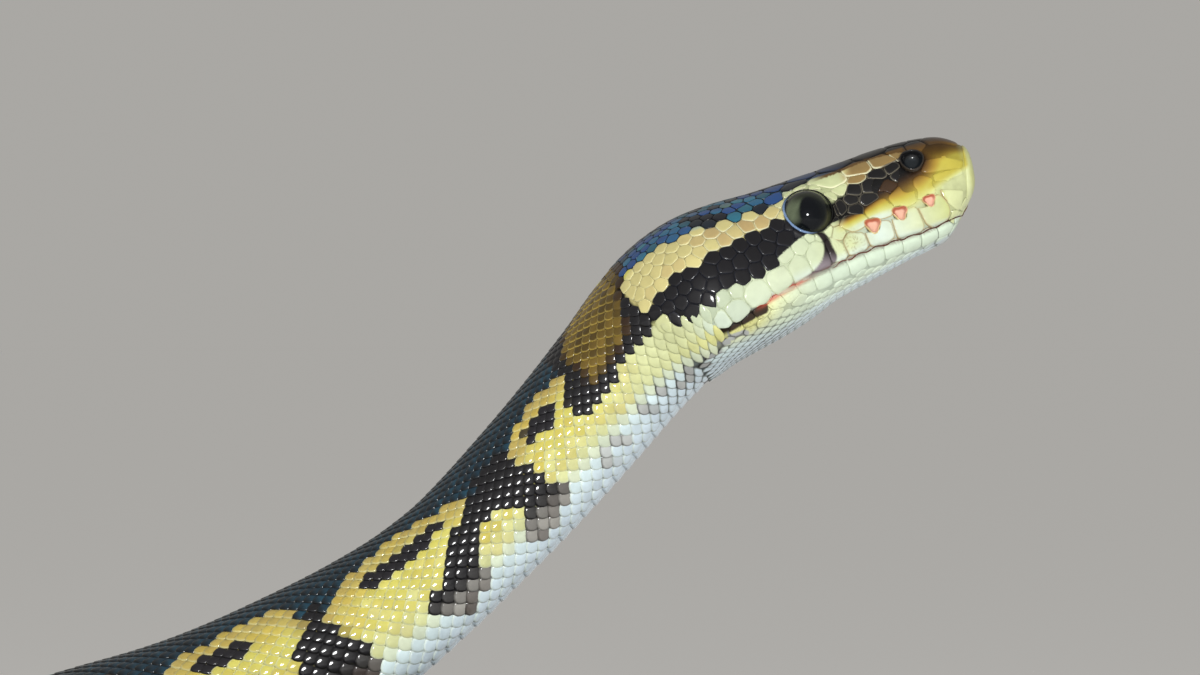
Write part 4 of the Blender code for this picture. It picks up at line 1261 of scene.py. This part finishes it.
def eyeball(name, node, side):
    """A ball as a grid of polar angle by turn about the axis that points outwards, coloured by the polar
    angle: the pupil's edge is an ellipse in it."""
    outward = unit(eye_right * side - 0.10 * back[eye_row] + 0.05 * eye_up)
    top = unit(eye_up - outward * (eye_up @ outward))
    front = np.cross(top, outward) * side
    polar = np.linspace(0, math.pi, EYE_RINGS + 2)[1:-1]
    p, t = np.meshgrid(polar, circle(EYE_AROUND), indexing="ij")
    rise, run = (np.sin(p) * np.cos(t))[..., None], (np.sin(p) * np.sin(t))[..., None]
    ways = (outward * np.cos(p)[..., None] + top * rise + front * run).reshape(-1, 3)
    points = EYES[side] + np.concatenate([ways, [outward, -outward]]) * BALL_RADIUS
    degrees = np.degrees(p)
    leaning = t - math.radians(PUPIL_LEAN)
    pupil = np.hypot(degrees * np.cos(leaning) / PUPIL_TALL, degrees * np.sin(leaning) / PUPIL_WIDE)
    iris = mix(dye(13, 17, 19), dye(96, 106, 84), ramp(np.cos(t + 0.85), 0.4, 0.98) * ramp(degrees, 16, 38))
    iris = mix(iris, dye(58, 60, 42), ramp(-np.cos(t + 0.3), 0.3, 0.95) * ramp(degrees, 34, 50))
    iris = mix(iris, dye(40, 44, 34), ramp(np.cos(t - 0.5), 0.3, 0.95) * ramp(degrees, 34, 50))
    iris = iris * (0.9 + 0.1 * np.sin(14 * t + degrees / 3) * np.cos(9 * t))[..., None]
    iris = mix(iris, dye(12, 15, 18), ramp(degrees, 60, 70))
    colour = mix(iris, dye(7, 10, 15), fall(pupil, 0.85, 1.1))
    made = add_piece(name, points, tube_faces(EYE_RINGS, EYE_AROUND), eye_glass,
                     np.concatenate([colour.reshape(-1, 3), np.tile(dye(8, 10, 14), (2, 1))]))
    first = made.data.polygons[0]
    if np.array(first.normal) @ (np.array(first.center) - EYES[side] * MM) < 0:
        made.data.flip_normals()
    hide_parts(node)


def eye_rim(name, side):
    """The edge of the clear scale: a thin tube along the line where the hide meets the ball, thicker behind
    and below the eye, where it is painted pale blue as a reflection on its wet edge."""
    around, sides_count = 64, 8
    ray = circle(around)
    ray_s, ray_a = eye_line(ray, 133, EYE_RADIUS + 0.04)
    path, _, _, normal = hide_frame(ray_s, side * ray_a)
    path = (path + np.roll(path, 1, 0) + np.roll(path, -1, 0)) / 3
    from_eye = path - EYES[side]
    outward = unit(from_eye - dot(from_eye, eye_right)[:, None] * eye_right)
    rear = ramp(np.cos(ray - 0.15), 0.0, 0.8)
    turn = circle(sides_count)[:, None]
    ring = outward[:, None] * np.cos(turn) + side * eye_right * np.sin(turn)
    points = path[:, None] + ring * (0.06 + 0.08 * rear)[:, None, None] - normal[:, None] * 0.04
    quads = net(around, sides_count, closed_rows=True)[..., ::side].ravel()
    # Dark round most of the eye, with a painted pale blue reflection behind and below it
    colour = np.repeat(mix(dye(30, 30, 30), dye(112, 136, 170), rear), sides_count, axis=0)
    faces = quads, np.full(around * sides_count, 4)
    add_piece(name, points.reshape(-1, 3), faces, eye_glass, colour)


eye_glass = keratin("eye_glass", 0.4, 0.0, 3000, 1.0, 0.1)
set_inputs(eye_glass.node_tree.nodes["Principled BSDF"],
           {"Specular IOR Level": 0.02, "Coat Roughness": 0.03, "Coat IOR": 1.3})
eyeball("eyeball_right", "eye_right", 1)
eyeball("eyeball_left", "eye_left", -1)
eye_rim("eye_rim_right", 1)
eye_rim("eye_rim_left", -1)

# ----------------------------------------------------------------------------------------------------
# The studio: a plain pale floor, soft lights and the camera at the level of the head, on the animal's
# right. Here lengths are in metres.
floor_mesh = bpy.data.meshes.new("floor")
floor_mesh.from_pydata([(-30, -30, 0), (30, -30, 0), (30, 30, 0), (-30, 30, 0)], [], [(0, 1, 2, 3)])
floor = put("floor", floor_mesh)
floor_paint = bpy.data.materials.new("floor_paint")
floor_paint.use_nodes = True
set_inputs(floor_paint.node_tree.nodes["Principled BSDF"],
           {"Base Color": (1, 1, 1, 1), "Roughness": 1, "Specular IOR Level": 0})
floor_mesh.materials.append(floor_paint)

world = bpy.data.worlds.new("studio")
world.use_nodes = True
set_inputs(world.node_tree.nodes["Background"], {"Color": (0.80, 0.78, 0.74, 1), "Strength": 0.5})
bpy.context.scene.world = world
HEAD_PLACE = (0.06, 0.025, 0.10)


def soft_light(name, place, size, power, mirrored=False, spread=180):
    """A round lamp that is aimed at the head, with the angle in degrees that its light spreads over."""
    data = bpy.data.lights.new(name, "AREA")
    data.shape = "DISK"
    data.size = size
    data.energy = power
    data.spread = math.radians(spread)
    light = put(name, data)
    light.visible_glossy = mirrored
    light.location = place
    light.rotation_mode = "QUATERNION"
    light.rotation_quaternion = mathutils.Vector(np.subtract(HEAD_PLACE, place)).to_track_quat("-Z", "Y")


soft_light("key", (0.05, -0.68, 0.16), 0.12, 0.52, True, 80)
soft_light("fill", (-0.5, -0.5, 0.25), 0.5, 1.0)
soft_light("back", (0.1, 0.6, 0.4), 0.5, 1.0)
soft_light("low", (0.45, -0.5, 0.16), 0.2, 0.3, spread=90)
bpy.context.scene.view_settings.view_transform = "Standard"

camera_data = bpy.data.cameras.new("camera")
camera_data.lens = 131.7
camera_data.sensor_width = 36
camera_data.clip_start = 0.01
camera = put("camera", camera_data)
camera.location = (0.0452, -0.4248, 0.09596)
camera.rotation_euler = (math.radians(90), 0, 0)
bpy.context.scene.camera = camera
